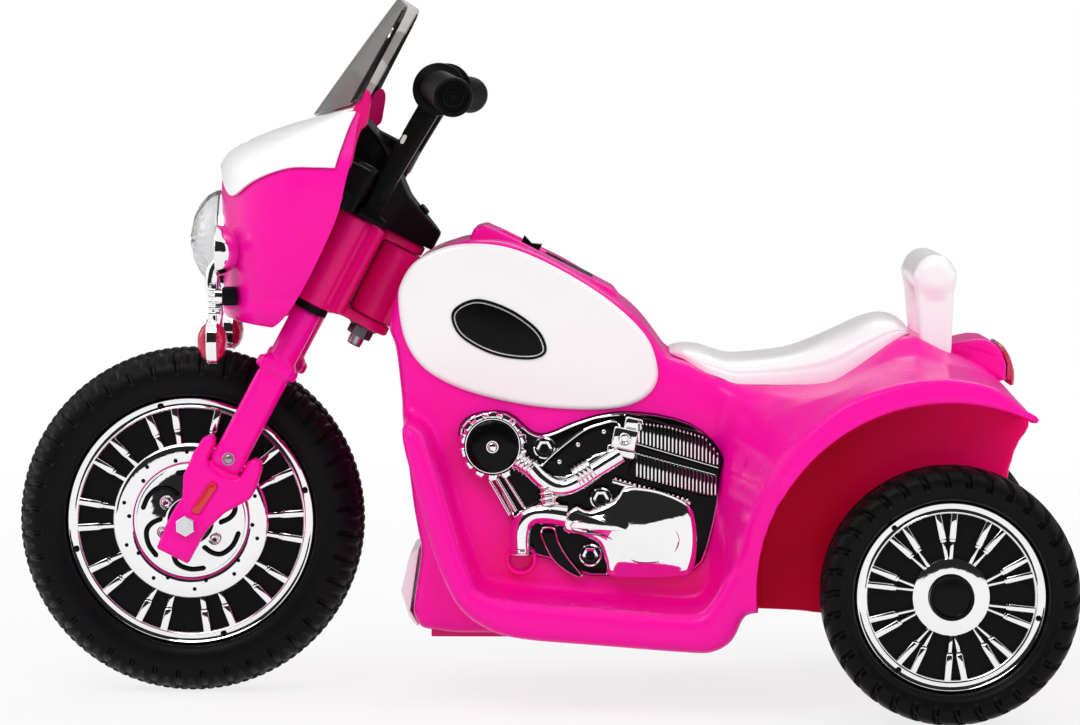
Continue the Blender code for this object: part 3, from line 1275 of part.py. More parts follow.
def pedal_bracket():
    cheeks = []
    for y in (0.0965, 0.1500):
        outline = [(-0.0060, -0.0110), (0.0060, -0.0110), (0.0050, 0.0035), (-0.0050, 0.0035)]
        cheeks.append(slab(outline, y, y + 0.0035))
    base = box((-0.0060, 0.0965, -0.0110), (0.0060, 0.1535, -0.0070))
    mesh = cut(join(base, cheeks[0], cheeks[1]), rod_across(clear(PEDAL_PIN), 0.0940, 0.1560, ROUND_STEPS))
    mesh.transform(Matrix.Translation(PEDAL_AXIS))
    return mesh


# A spur gear outline with straight flanks between root and tip, thinned for backlash.
def gear_outline(module, teeth, phase):
    pitch = module * teeth / 2
    base = pitch * math.cos(PRESSURE_ANGLE)
    tip = pitch + 0.9 * module
    root = max(pitch - 1.15 * module, 0.5 * base)
    half_pitch = math.pi / (2 * teeth) - BACKLASH / (2 * pitch)

    def involute(radius):
        if radius <= base:
            return 0.0
        angle = math.acos(base / radius)
        return math.tan(angle) - angle

    start = half_pitch + involute(pitch)
    points = []
    for tooth in range(teeth):
        middle = phase + 2 * math.pi * tooth / teeth
        low = start - involute(max(root, base))
        high = start - involute(tip)
        for radius, angle in ((root, -low), (tip, -high), (tip, high), (root, low)):
            points.append((radius * math.cos(middle + angle), radius * math.sin(middle + angle)))
    return points


# Gears of the drive: a tooth of the driver points along the line of centres, a gap of the driven meets it.
def drive_gears():
    back = DRIVE_LEAN
    ahead = DRIVE_LEAN + math.pi
    pinion = slab(gear_outline(FIRST_MODULE, PINION_TEETH, ahead), FIRST_STAGE_Y, FIRST_STAGE_Y + GEAR_FACE)
    shaft = rod_across(0.0030, 0.0700, FIRST_STAGE_Y + 0.002, ROUND_STEPS)
    pinion = join(pinion, shaft)
    pinion.transform(Matrix.Translation(MOTOR_AXIS))
    wheel_phase = back + math.pi / REDUCTION_TEETH
    large = slab(gear_outline(FIRST_MODULE, REDUCTION_TEETH, wheel_phase), FIRST_STAGE_Y, FIRST_STAGE_Y + GEAR_FACE)
    small = slab(gear_outline(SECOND_MODULE, SECOND_TEETH, ahead), FIRST_STAGE_Y + GEAR_FACE - 0.0005,
                 SECOND_STAGE_Y + GEAR_FACE + 0.001)
    spindle = rod_across(0.0030, 0.0905, 0.1245, ROUND_STEPS)
    reduction = join(large, small, spindle)
    reduction.transform(Matrix.Translation(REDUCTION_AXIS))
    output_phase = back + math.pi / OUTPUT_TEETH
    output = slab(gear_outline(SECOND_MODULE, OUTPUT_TEETH, output_phase), SECOND_STAGE_Y, SECOND_STAGE_Y + GEAR_FACE)
    collar = rod_across(0.0120, 0.0905, SECOND_STAGE_Y + 0.001, ROUND_STEPS)
    dog = rod_across(DOG_RADIUS, SECOND_STAGE_Y + GEAR_FACE - 0.001, REAR_TRACK / 2 - 0.0275 - GAP, ROUND_STEPS)
    output = join(output, collar, dog)
    key = box((-0.0025, REAR_TRACK / 2 - 0.0290, 0.0068), (0.0025, REAR_TRACK / 2 - 0.0240, 0.0100))
    output = join(output, scattered(key, [turn("Y", 2 * math.pi * i / 3) for i in range(3)]))
    output = cut(output, rod_across(clear(AXLE_RADIUS), 0.0800, REAR_TRACK / 2, ROUND_STEPS))
    output.transform(Matrix.Translation(REAR_AXLE))
    return pinion, reduction, output


def key_rooms():
    room = box((-0.0025 - GAP, REAR_TRACK / 2 - 0.0290, 0.0068 - GAP),
               (0.0025 + GAP, REAR_TRACK / 2 - 0.0240 + GAP, 0.0100 + GAP))
    rooms = scattered(room, [turn("Y", 2 * math.pi * i / 3) for i in range(3)])
    rooms.transform(shift(0.0, -REAR_TRACK / 2, 0.0))
    return rooms


# The gearbox's plan: the hull of a circle round each gear.
def gearbox_outline(depth):
    outline = []
    for centre, radius, start, end in ((REAR_AXLE, 0.0270, -85.0, 85.0), (REDUCTION_AXIS, 0.0210, 85.0, 100.0),
                                       (MOTOR_AXIS, 0.0135, 95.0, 265.0), (REDUCTION_AXIS, 0.0210, 260.0, 270.0)):
        outline += arc((centre.x, centre.z), radius - depth, start, end, 8 if end - start > 30 else 2)
    return outline


def gearbox_case():
    low = 0.0860
    high = 0.1240
    body = slab(gearbox_outline(0.0), low, high, 0.001)
    room = slab(gearbox_outline(0.0022), low + 0.0022, high + OVERRUN)
    shaft = rod_across(clear(0.0030), low - OVERRUN, low + 0.010, ROUND_STEPS)
    shaft.transform(Matrix.Translation(MOTOR_AXIS))
    through = rod_across(clear(AXLE_RADIUS), low - OVERRUN, low + 0.010, ROUND_STEPS)
    through.transform(Matrix.Translation(REAR_AXLE))
    boss = rod_across(0.0060, low + 0.001, 0.0900, ROUND_STEPS)
    boss.transform(Matrix.Translation(REDUCTION_AXIS))
    spindle_room = rod_across(clear(0.0030), low + 0.0022, 0.095, ROUND_STEPS)
    spindle_room.transform(Matrix.Translation(REDUCTION_AXIS))
    return cut(join(cut(body, room), boss), shaft, through, spindle_room)


def gearbox_cover():
    low = 0.1240 + GAP
    plate = slab(gearbox_outline(0.0), low, low + 0.0035, 0.0008)
    dog = rod_across(clear(DOG_RADIUS), low - OVERRUN, low + 0.010, ROUND_STEPS)
    dog.transform(Matrix.Translation(REAR_AXLE))
    spindle_room = rod_across(clear(0.0030), low - OVERRUN, 0.1252, ROUND_STEPS)
    spindle_room.transform(Matrix.Translation(REDUCTION_AXIS))
    return cut(plate, dog, spindle_room)


def motor():
    high = 0.0860 - GAP
    profile = [(0.0, high), (0.0165, high), (0.0180, high - 0.002), (0.0180, high - 0.050), (0.0150, high - 0.053),
               (0.0060, high - 0.053), (0.0060, high - 0.058), (0.0, high - 0.058)]
    mesh = turned_across(profile, ROUND_STEPS)
    mesh = cut(mesh, rod_across(clear(0.0030), 0.0690, high + OVERRUN, ROUND_STEPS))
    mesh.transform(Matrix.Translation(MOTOR_AXIS))
    return mesh


def build():
    body = cut(body_shell(), *backrest_rooms())
    place("body_shell", body, PLASTIC_PINK)
    place("floor_pan", floor_pan(), PLASTIC_BLACK)
    place("battery", battery(), PLASTIC_BLACK)
    for side, pick in (("left", lambda mesh: mesh), ("right", mirrored)):
        place("tank_panel_" + side, pick(tank_panel()), PLASTIC_WHITE)
        place("engine_backplate_" + side, pick(engine_backplate()), PLASTIC_BLACK)
        place("engine_trim_" + side, pick(engine_trim()), PLATED)
    place("tank_console", tank_console(), PLASTIC_PINK)
    place("console_panel", console_panel(), PLASTIC_BLACK)
    place("charging_socket", charging_socket(), PLASTIC_BLACK)
    place("rocker_switch", rocker_switch(), PLASTIC_BLACK, SWITCH_POINT)
    place("seat", seat(), PLASTIC_WHITE)
    place("backrest", backrest(), PLASTIC_WHITE)
    place("tail_lamp_housing", tail_lamp_housing(), PLASTIC_PINK)
    place("tail_lamp_lens", tail_lamp_lens(), LENS_RED)
    place("front_lower_cover", front_lower_cover(), PLASTIC_WHITE)
    place("accelerator_pedal", accelerator_pedal(), PLASTIC_BLACK, PEDAL_AXIS)
    place("pedal_bracket", pedal_bracket(), PLASTIC_BLACK)

    place("rear_axle", rear_axle(), BARE_STEEL)
    wheel = rear_wheel()
    trim = rear_trim()
    for side, sign, pick in (("left", -1, lambda mesh: mesh.copy()), ("right", 1, mirrored)):
        centre = Vector((REAR_X, sign * REAR_TRACK / 2, REAR_RADIUS))
        one = pick(mirrored(wheel))
        if side == "right":
            one = cut(one, key_rooms())
        one.transform(Matrix.Translation(centre))
        rim = pick(trim)
        rim.transform(Matrix.Translation(centre))
        place("rear_wheel_" + side, one, TYRE_BLACK, centre)
        place("rear_trim_" + side, rim, PLATED, centre)
        cap = hub_cap()
        place("hub_cap_" + side, cap if side == "left" else mirrored(cap), PLASTIC_BLACK, centre)

    pinion, reduction, output = drive_gears()
    place("motor", motor(), BARE_STEEL)
    place("gearbox_case", gearbox_case(), PLASTIC_BLACK)
    place("gearbox_cover", gearbox_cover(), PLASTIC_BLACK)
    place("motor_pinion", pinion, PLASTIC_WHITE, MOTOR_AXIS)
    place("reduction_gear", reduction, PLASTIC_WHITE, REDUCTION_AXIS)
    place("output_gear", output, PLASTIC_WHITE, REAR_AXLE)

    axle = Vector((-FORK_OFFSET, 0.0, -FORK_REACH))
    place("fork_yoke", fork_yoke(), PLASTIC_PINK, parent=FORK_FRAME)
    place("kingpin", kingpin(), BARE_STEEL, parent=FORK_FRAME)
    place("kingpin_nut", kingpin_nut(), BARE_STEEL, parent=FORK_FRAME)
    place("front_axle", front_axle(), BARE_STEEL, parent=FORK_FRAME)
    hub = moved(front_wheel(), turn("Y", -RAKE), Matrix.Translation(axle))
    place("front_wheel", hub, TYRE_BLACK, axle, FORK_FRAME)
    for side, pick in (("left", lambda mesh: mesh), ("right", mirrored)):
        place("fork_leg_" + side, pick(fork_leg()), PLASTIC_PINK, parent=FORK_FRAME)
        place("fork_collar_" + side, pick(fork_collar()), PLASTIC_BLACK, parent=FORK_FRAME)
        rim = pick(moved(front_trim(), turn("Y", -RAKE)))
        rim.transform(Matrix.Translation(axle))
        place("front_trim_" + side, rim, PLATED, axle, FORK_FRAME)
        place("grip_" + side, pick(grip()), PLASTIC_BLACK, parent=FORK_FRAME)
        place("lamp_bracket_" + side, on_steering(pick(lamp_bracket())), PLATED, parent=STEERING_AXIS)
        place("turn_lamp_" + side, on_steering(pick(turn_lamp())), LENS_RED, parent=STEERING_AXIS)
    place("handlebar", handlebar(), PLASTIC_BLACK, parent=FORK_FRAME)
    place("dash_pod", dash_pod(), PLASTIC_BLACK, parent=FORK_FRAME)
    for name, sign in (("dash_button_left", -1), ("dash_button_right", 1)):
        centre = Vector((BUTTON_U, sign * BUTTON_Y, BUTTON_V))
        place(name, dash_button(sign), LENS_RED, centre, FORK_FRAME)
    place("windscreen", windscreen(), LENS_SMOKE, parent=FORK_FRAME)
    place("fairing", on_steering(fairing()), PLASTIC_PINK, parent=STEERING_AXIS)
    place("fairing_cover", on_steering(fairing_cover()), PLASTIC_WHITE, parent=STEERING_AXIS)
    place("headlight_ring", on_steering(headlight_ring()), PLATED, parent=STEERING_AXIS)
    place("headlight_lens", on_steering(headlight_lens()), LENS_CLEAR, parent=STEERING_AXIS)


# From the frame that the fairing's outlines are drawn in to one at the steering point, so they move with it.
def on_steering(mesh):
    mesh.transform(Matrix.Translation(-DRAWN_POINT))
    return mesh


build()
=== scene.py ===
# Looks of a kids electric tricycle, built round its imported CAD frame. Lengths are in metres:
# the vehicle faces -X, its left side is -Y and the floor is Z = 0.
import json
import math

import bmesh
import bpy
import numpy as np
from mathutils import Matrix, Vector

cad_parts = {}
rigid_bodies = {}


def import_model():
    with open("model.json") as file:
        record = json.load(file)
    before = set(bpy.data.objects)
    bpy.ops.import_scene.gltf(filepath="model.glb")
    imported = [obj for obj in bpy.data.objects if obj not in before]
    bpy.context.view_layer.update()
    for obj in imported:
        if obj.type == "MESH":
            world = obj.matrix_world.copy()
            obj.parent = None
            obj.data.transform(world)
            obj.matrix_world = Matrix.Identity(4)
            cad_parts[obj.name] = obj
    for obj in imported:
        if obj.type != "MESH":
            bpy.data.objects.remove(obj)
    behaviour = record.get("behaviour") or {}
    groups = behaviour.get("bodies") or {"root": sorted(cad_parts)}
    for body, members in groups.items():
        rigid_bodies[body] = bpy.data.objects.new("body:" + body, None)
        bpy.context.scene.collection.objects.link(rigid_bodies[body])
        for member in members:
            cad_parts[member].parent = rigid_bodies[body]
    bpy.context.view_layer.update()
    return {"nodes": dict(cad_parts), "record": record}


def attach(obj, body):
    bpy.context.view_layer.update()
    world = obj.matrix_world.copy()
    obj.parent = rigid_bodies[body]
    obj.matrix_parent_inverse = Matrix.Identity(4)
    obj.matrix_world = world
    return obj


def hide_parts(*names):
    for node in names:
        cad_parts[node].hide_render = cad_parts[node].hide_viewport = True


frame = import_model()
nodesOf = frame["nodes"]
nodeBody = {node: body for body, members in frame["record"]["behaviour"]["bodies"].items() for node in members}
print("frame loaded:", len(nodeBody), "nodes")

rakeAngle = 28.0
rake = math.radians(rakeAngle)
frontAxle = np.array([-0.267, 0.0, 0.133])
rearAxle = np.array([0.305, 0.0, 0.095])
leanU = np.array([math.cos(rake), 0.0, -math.sin(rake)])
leanV = np.array([math.sin(rake), 0.0, math.cos(rake)])
steeringPoint = frontAxle + 0.0465 * leanU + 0.188 * leanV
quarterTurn = np.pi / 2
wholeTurn = 2 * np.pi
mergeDistance = 2e-6


# ---- shapes: each is (points, faces), a face being four corners

# Rows of numbers given in tenths of a millimetre; line gives pairs, as radius and height or as X and Z.
def table(width, *values):
    return np.array(values).reshape(-1, width) / 1e4


def line(*values):
    return table(2, *values)


# A grid of points, rows by columns, as four-sided faces; wrapped where its first and last lines meet.
def grid(points, wrapRows=False, wrapColumns=False):
    rows, columns = points.shape[:2]
    number = np.arange(rows * columns).reshape(rows, columns)
    if wrapRows:
        number = np.vstack([number, number[:1]])
    if wrapColumns:
        number = np.hstack([number, number[:, :1]])
    faces = np.stack([number[:-1, :-1], number[:-1, 1:], number[1:, 1:], number[1:, :-1]], -1)
    return points.reshape(-1, 3), faces.reshape(-1, 4)


# Rings of points closed by a point in the middle of each end.
def capped(points, first, last):
    count = points.shape[1]
    ends = [np.repeat(np.reshape(end, (1, 1, 3)), count, 1) for end in (first, last)]
    return grid(np.concatenate([ends[0], points, ends[1]]), False, True)


# Several shapes as one.
def together(*shapes):
    counts = np.cumsum([0] + [len(points) for points, faces in shapes])
    return (np.vstack([points for points, faces in shapes]),
            np.vstack([faces + count for (points, faces), count in zip(shapes, counts)]))


# A shape moved by a 3x3 turn, then a shift.
def put(shape, turn=None, shift=(0.0, 0.0, 0.0)):
    points = shape[0] if turn is None else shape[0] @ np.asarray(turn).T
    return points + np.asarray(shift), shape[1]


# The same shape on the vehicle's other side, or where it is.
def mirrored(shape):
    return shape[0] * np.array([1.0, -1.0, 1.0]), shape[1][:, ::-1]


def asMade(shape):
    return shape


# The turn matrix about an axis, by degrees.
def about(axis, degrees):
    c, s = math.cos(math.radians(degrees)), math.sin(math.radians(degrees))
    return np.array({"X": [[1, 0, 0], [0, c, -s], [0, s, c]],
                     "Y": [[c, 0, s], [0, 1, 0], [-s, 0, c]],
                     "Z": [[c, -s, 0], [s, c, 0], [0, 0, 1]]}[axis], float)


# From the raked steering frame (u back, y, v up) to the vehicle's.
def raked(shape):
    return put(shape, about("Y", rakeAngle), steeringPoint)


# Each row of vectors scaled to a length of one.
def unit(vectors):
    return vectors / np.linalg.norm(vectors, axis=-1)[..., None]


# A row of numbers, a step apart, smoothed with a bell curve of the given width, its ends held.
def belled(values, reach, width, step=1.0):
    bell = np.exp(-0.5 * (np.arange(-reach, reach + 1) * step / width) ** 2)
    return np.convolve(np.pad(values, reach, "edge"), bell / bell.sum(), "valid")


# Points on a smooth line through the given ones: each stretch is a cubic set by its four nearest points.
def through(points, per=8, closed=False):
    p = np.asarray(points, float)
    q = np.vstack([p[-1:], p, p[:2]]) if closed else np.vstack([2 * p[0] - p[1], p, 2 * p[-1] - p[-2]])
    t = (np.arange(per) / per)[None, :, None]
    a, b, c, d = (q[i:len(q) - 3 + i, None] for i in range(4))
    cubic = 0.5 * (2 * b + (c - a) * t + (2 * a - 5 * b + 4 * c - d) * t ** 2 + (3 * b - a - 3 * c + d) * t ** 3)
    cubic = cubic.reshape(-1, p.shape[1])
    return cubic if closed else np.vstack([cubic, p[-1:]])


# A profile of (radius, height) pairs turned once about an axis; closed profiles join their ends.
def turned(profile, steps=64, axis="Y", centre=(0.0, 0.0, 0.0), closed=False):
    profile = np.asarray(profile, float)
    angle = np.linspace(0.0, wholeTurn, steps, endpoint=False)
    a = profile[:, :1] * np.cos(angle)
    b = profile[:, :1] * np.sin(angle)
    h = profile[:, 1:2] + 0.0 * a
    order = {"X": (h, a, b), "Y": (a, h, b), "Z": (a, b, h)}[axis]
    return put(grid(np.stack(order, -1), closed, True), None, centre)


# A round bar along a path: a circle stood square to the path at each point, drawn to a point at both ends.
def tube(path, radius, steps=14, flat=1.0):
    path = np.asarray(path, float)
    radius = np.broadcast_to(np.asarray(radius, float), len(path))
    along = np.gradient(path, axis=0)
    along /= np.linalg.norm(along, axis=1)[:, None]
    side = np.cross(along, (0.0, 1.0, 0.0))
    side /= np.linalg.norm(side, axis=1)[:, None]
    top = np.cross(side, along)
    angle = np.linspace(0.0, wholeTurn, steps, endpoint=False)[None, :, None]
    ring = side[:, None] * np.cos(angle) + top[:, None] * np.sin(angle) * flat
    return capped(path[:, None] + ring * radius[:, None, None], path[0], path[-1])


# The path in X and Z at one Y, as points for a tube.
def level(path, y):
    path = np.asarray(path)
    return np.column_stack([path[:, 0], np.full(len(path), y), path[:, 1]])


# A box with rounded edges: every direction of a ball pushed out to the box's corners.
def block(low, high, rounding=0.001, steps=3):
    low, high = np.asarray(low, float), np.asarray(high, float)
    half = (high - low) / 2
    rounding = min(rounding, half.min() * 0.98)
    quarter = np.linspace(0.0, quarterTurn, steps + 1)
    turn = np.concatenate([quarter + k * quarterTurn for k in range(4)])
    signX, signY = (np.repeat(signs, steps + 1) for signs in ([1, -1, -1, 1], [1, 1, -1, -1]))
    rise = np.concatenate([quarter - quarterTurn, quarter])
    signZ = np.repeat([-1, 1], steps + 1)
    x = np.cos(rise)[:, None] * np.cos(turn) * rounding + signX * (half[0] - rounding)
    y = np.cos(rise)[:, None] * np.sin(turn) * rounding + signY * (half[1] - rounding)
    z = np.sin(rise)[:, None] * rounding + signZ[:, None] * (half[2] - rounding) + 0.0 * x
    return put(capped(np.stack([x, y, z], -1), (0.0, 0.0, -half[2]), (0.0, 0.0, half[2])), None, (low + high) / 2)


# An outline moved inward along the mean of its two sides' normals.
def inward(outline, distance):
    before, after = np.roll(outline, 1, 0), np.roll(outline, -1, 0)
    first = (outline - before) / np.maximum(np.linalg.norm(outline - before, axis=1), 1e-9)[:, None]
    second = (after - outline) / np.maximum(np.linalg.norm(after - outline, axis=1), 1e-9)[:, None]
    area = (outline[:, 0] * after[:, 1] - after[:, 0] * outline[:, 1]).sum()
    normal = np.stack([-(first + second)[:, 1], (first + second)[:, 0]], 1) * np.sign(area)
    length = np.maximum(np.linalg.norm(normal, axis=1), 1e-9)[:, None]
    return outline + normal / length * distance * np.minimum(2.0 / length, 1.6)


# A pad on an outline in X and Z, from one Y to another: its rim rises in a quarter round of the given radius,
# and its face swells by crown on the way to the middle, following one minus the square of the distance in.
def pad(outline, yLow, yHigh, rounding=0.001, crown=0.0, steps=4, rings=5, shrink=0.0):
    outline = np.asarray(outline, float)
    middle = outline.mean(0)
    depth = abs(yHigh - yLow)
    rows = [(outline, 0.0)]
    for k in range(steps + 1):
        a = k / steps * quarterTurn
        rim = inward(outline, rounding * (1 - math.cos(a)) + shrink)
        rows.append((rim, 1.0 - rounding * (1 - math.sin(a)) / depth))
    for k in range(1, rings + 1):
        share = k / rings
        rows.append((rim + (middle - rim) * share, 1.0 + crown * (1 - (1 - share) ** 2) / depth))
    points = np.array([level(o, yLow + (yHigh - yLow) * h) for o, h in rows])
    base = level(np.tile(middle, (len(outline), 1)), yLow)
    return grid(np.concatenate([base[None], points]), False, True)


# The outline of a slot with round ends between two points.
def stadium(start, end, radius, steps=8):
    start, end = np.asarray(start, float), np.asarray(end, float)
    along = (end - start) / np.linalg.norm(end - start)
    side = np.array([-along[1], along[0]])
    a = np.linspace(0, np.pi, steps + 1)[:, None]
    return np.vstack([end + radius * (side * np.cos(a) * -1 + along * np.sin(a)),
                      start + radius * (side * np.cos(a) - along * np.sin(a))])


# Rises from 0 to 1 between two values, level at both.
def ramp(value, low, high):
    t = np.clip((value - low) / (high - low), 0.0, 1.0)
    return t * t * (3 - 2 * t)


# ---- fields of distances, negative inside

# Signed distance of points from a closed outline: the least distance to any side, with its sign from how often
# a line to the right crosses the outline.
def outlineDistance(outline, a, b):
    outline = np.asarray(outline, float)
    edge = np.roll(outline, -1, 0) - outline
    awayA = a[..., None] - outline[:, 0]
    awayB = b[..., None] - outline[:, 1]
    t = np.clip((awayA * edge[:, 0] + awayB * edge[:, 1]) / (edge ** 2).sum(1), 0.0, 1.0)
    least = np.sqrt(((awayA - edge[:, 0] * t) ** 2 + (awayB - edge[:, 1] * t) ** 2).min(-1))
    rise = np.where(np.abs(edge[:, 1]) < 1e-12, 1e-12, edge[:, 1])
    spans = (outline[:, 1] > b[..., None]) != (outline[:, 1] + edge[:, 1] > b[..., None])
    crossings = (spans & (awayA < awayB * edge[:, 0] / rise)).sum(-1)
    return np.where(crossings % 2 == 1, -least, least)


# The same for an outline seen from the side, over a whole field.
def sideOutline(outline, x, z):
    return outlineDistance(outline, x[:, 0, :], z[:, 0, :])[:, None, :]


# Two distances joined as one solid, or one cut from another, with a soft fillet of width k.
def blended(a, b, k):
    h = np.clip(0.5 + 0.5 * (b - a) / k, 0.0, 1.0)
    return b + (a - b) * h - k * h * (1 - h)


def carved(a, b, k):
    return -blended(-a, b, k)


# What all the given fields have in common.
def common(*fields):
    total = fields[0]
    for field in fields[1:]:
        total = np.maximum(total, field)
    return total


# A slab between two values, and a round bar at a place in the plane of two coordinates.
def between(value, low, high):
    return np.maximum(low - value, value - high)


def rod(a, b, centreA, centreB, radius):
    return np.hypot(a - centreA, b - centreB) - radius


# A flat distance given a thickness: rounded where the two meet.
def thickened(flat, across, rounding):
    a, b = flat + rounding, across + rounding
    return np.minimum(np.maximum(a, b), 0.0) + np.hypot(np.maximum(a, 0.0), np.maximum(b, 0.0)) - rounding


def boxDistance(x, y, z, low, high, rounding=0.0):
    parts = [np.abs(c - (l + h) / 2) - (h - l) / 2 + rounding for c, l, h in zip((x, y, z), low, high)]
    outside = np.sqrt(sum(np.maximum(p, 0.0) ** 2 for p in parts))
    return outside + np.minimum(common(*parts), 0.0) - rounding


# A field smoothed along each axis with a bell of the given width in cells.
def softened(field, width):
    reach = max(1, int(math.ceil(width * 2.5)))
    bell = np.exp(-0.5 * (np.arange(-reach, reach + 1) / width) ** 2)
    bell /= bell.sum()
    for axis in range(3):
        padded = np.pad(field, [(reach, reach) if k == axis else (0, 0) for k in range(3)], "edge")
        total = np.zeros_like(field)
        for k, share in enumerate(bell):
            total += share * padded[sliced({axis: slice(k, k + field.shape[axis])})]
        field = total
    return field


# An index into a field: whole along each axis but those given.
def sliced(parts):
    return tuple(parts.get(axis, slice(None)) for axis in range(3))


# The surface where a field of distances is zero: one point in each cell that it passes, at the mean of the
# places where it crosses the cell's edges, and a face round each crossed edge. Also gives each point's normal.
def surfaceOf(field, low, step):
    head, tail, inner = slice(0, -1), slice(1, None), slice(1, -1)
    cells = np.array(field.shape) - 1
    total = np.zeros((*cells, 3))
    count = np.zeros(cells, int)
    crossed = []
    for axis in range(3):
        o = [k for k in range(3) if k != axis]
        fa, fb = field[sliced({axis: head})], field[sliced({axis: tail})]
        cross = (fa < 0) != (fb < 0)
        t = np.where(cross, fa / np.where(fa == fb, 1.0, fa - fb), 0.0)
        crossed.append((cross, fa < 0))
        for da in (0, 1):
            for db in (0, 1):
                part = sliced({o[0]: tail if da else head, o[1]: tail if db else head})
                here = cross[part]
                total[..., axis] += t[part]
                total[..., o[0]] += here * da
                total[..., o[1]] += here * db
                count += here
    active = count > 0
    number = np.full(count.shape, -1)
    number[active] = np.arange(active.sum())
    places = np.argwhere(active) + total[active] / count[active][:, None]
    faces = []
    for axis, (cross, inside) in enumerate(crossed):
        o = [k for k in range(3) if k != axis]
        at = np.argwhere(cross[sliced({o[0]: inner, o[1]: inner})])
        at[:, o] += 1
        outward = inside[tuple(at.T)] ^ (axis == 1)
        corners = []
        for shift in ((1, 1), (0, 1), (0, 0), (1, 0)):
            cell = at.copy()
            cell[:, o] -= shift
            corners.append(number[tuple(cell.T)])
        quad = np.stack(corners, 1)
        faces.append(np.where(outward[:, None], quad, quad[:, ::-1]))
    slopes = np.gradient(field)
    base = np.clip(places.astype(int), 0, np.array(field.shape) - 2)
    part = places - base
    normal = np.zeros_like(places)
    for k in range(3):
        for corner in np.ndindex(2, 2, 2):
            near = np.abs(1 - np.array(corner) - part)
            share = near[:, 0] * near[:, 1] * near[:, 2]
            normal[:, k] += share * slopes[k][tuple((base + corner).T)]
    normal /= np.maximum(np.linalg.norm(normal, axis=1), 1e-12)[:, None]
    return (places * step + np.asarray(low), np.vstack(faces)), normal


# The field's own grid of coordinates over a box.
def fieldGrid(low, high, step):
    return np.meshgrid(*[np.arange(l, h + step, step) for l, h in zip(low, high)], indexing="ij")


# ---- pieces

# Adds a mesh to the scene as a piece, with its material and body, and hides the CAD nodes it replaces.
def settle(name, mesh, look, body, stands):
    item = bpy.data.objects.new(name, mesh)
    bpy.context.scene.collection.objects.link(item)
    mesh.materials.append(looks[look])
    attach(item, body)
    if stands:
        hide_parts(*stands)
    return item


def smooth(mesh, angle=None):
    mesh.polygons.foreach_set("use_smooth", np.ones(len(mesh.polygons), bool))
    if angle:
        mesh.set_sharp_from_angle(angle=math.radians(angle))


# A shape as a piece; without normals of its own it gets its doubles merged, its faces outward and its edges
# sharp from an angle.
def piece(name, shape, look, body, stands=(), angle=35.0, normals=None):
    mesh = bpy.data.meshes.new(name)
    mesh.from_pydata(shape[0], [], shape[1])
    if normals is None:
        work = bmesh.new()
        work.from_mesh(mesh)
        bmesh.ops.remove_doubles(work, verts=work.verts, dist=mergeDistance)
        bmesh.ops.dissolve_degenerate(work, edges=work.edges, dist=1e-7)
        bmesh.ops.recalc_face_normals(work, faces=work.faces)
        work.to_mesh(mesh)
        work.free()
        smooth(mesh, angle)
    else:
        smooth(mesh)
        mesh.normals_split_custom_set_from_vertices(normals)
    settle(name, mesh, look, body, stands)


# A shape in the raked frame as a piece of the steering.
def steered(name, shape, look, stands=(), angle=35.0, normals=None):
    if normals is not None:
        normals = normals @ about("Y", rakeAngle).T
    piece(name, raked(shape), look, "steering", stands, angle, normals)


# A CAD node's own form as a piece with its edges rounded: doubles merged and flat faces joined first.
def refined(node, look, width, segments=3, angle=30.0):
    work = bmesh.new()
    work.from_mesh(nodesOf[node].data)
    bmesh.ops.remove_doubles(work, verts=work.verts, dist=mergeDistance)
    bmesh.ops.dissolve_limit(work, angle_limit=math.radians(1.0), verts=work.verts, edges=work.edges)
    mesh = bpy.data.meshes.new(node + "_surface")
    work.to_mesh(mesh)
    work.free()
    smooth(mesh, angle)
    item = settle(node + "_finished", mesh, look, nodeBody[node], [node])
    rim = item.modifiers.new("edges", "BEVEL")
    rim.width = width
    rim.segments = segments
    rim.limit_method = "ANGLE"
    rim.angle_limit = math.radians(angle)
    rim.use_clamp_overlap = True
    rim.harden_normals = True


# ---- finishes: each reads Object coordinates, so its grain is at the real scale

# A new shader node with its settings and inputs; an input given as a socket is linked to it.
def addNode(tree, kind, inputs=None, **settings):
    made = tree.nodes.new("ShaderNode" + kind)
    for key, value in settings.items():
        setattr(made, key, value)
    for key, value in (inputs or {}).items():
        feed(tree, made.inputs[key], value)
    return made


def feed(tree, socket, value):
    if isinstance(value, bpy.types.NodeSocket):
        tree.links.new(value, socket)
    else:
        socket.default_value = value


def mathNode(tree, operation, *values):
    return addNode(tree, "Math", dict(enumerate(values)), operation=operation).outputs[0]


def mixedTones(tree, share, first, second):
    tones = {"A": (*first, 1.0), "B": (*second, 1.0)}
    return addNode(tree, "Mix", {"Factor": share, **tones}, data_type="RGBA").outputs["Result"]


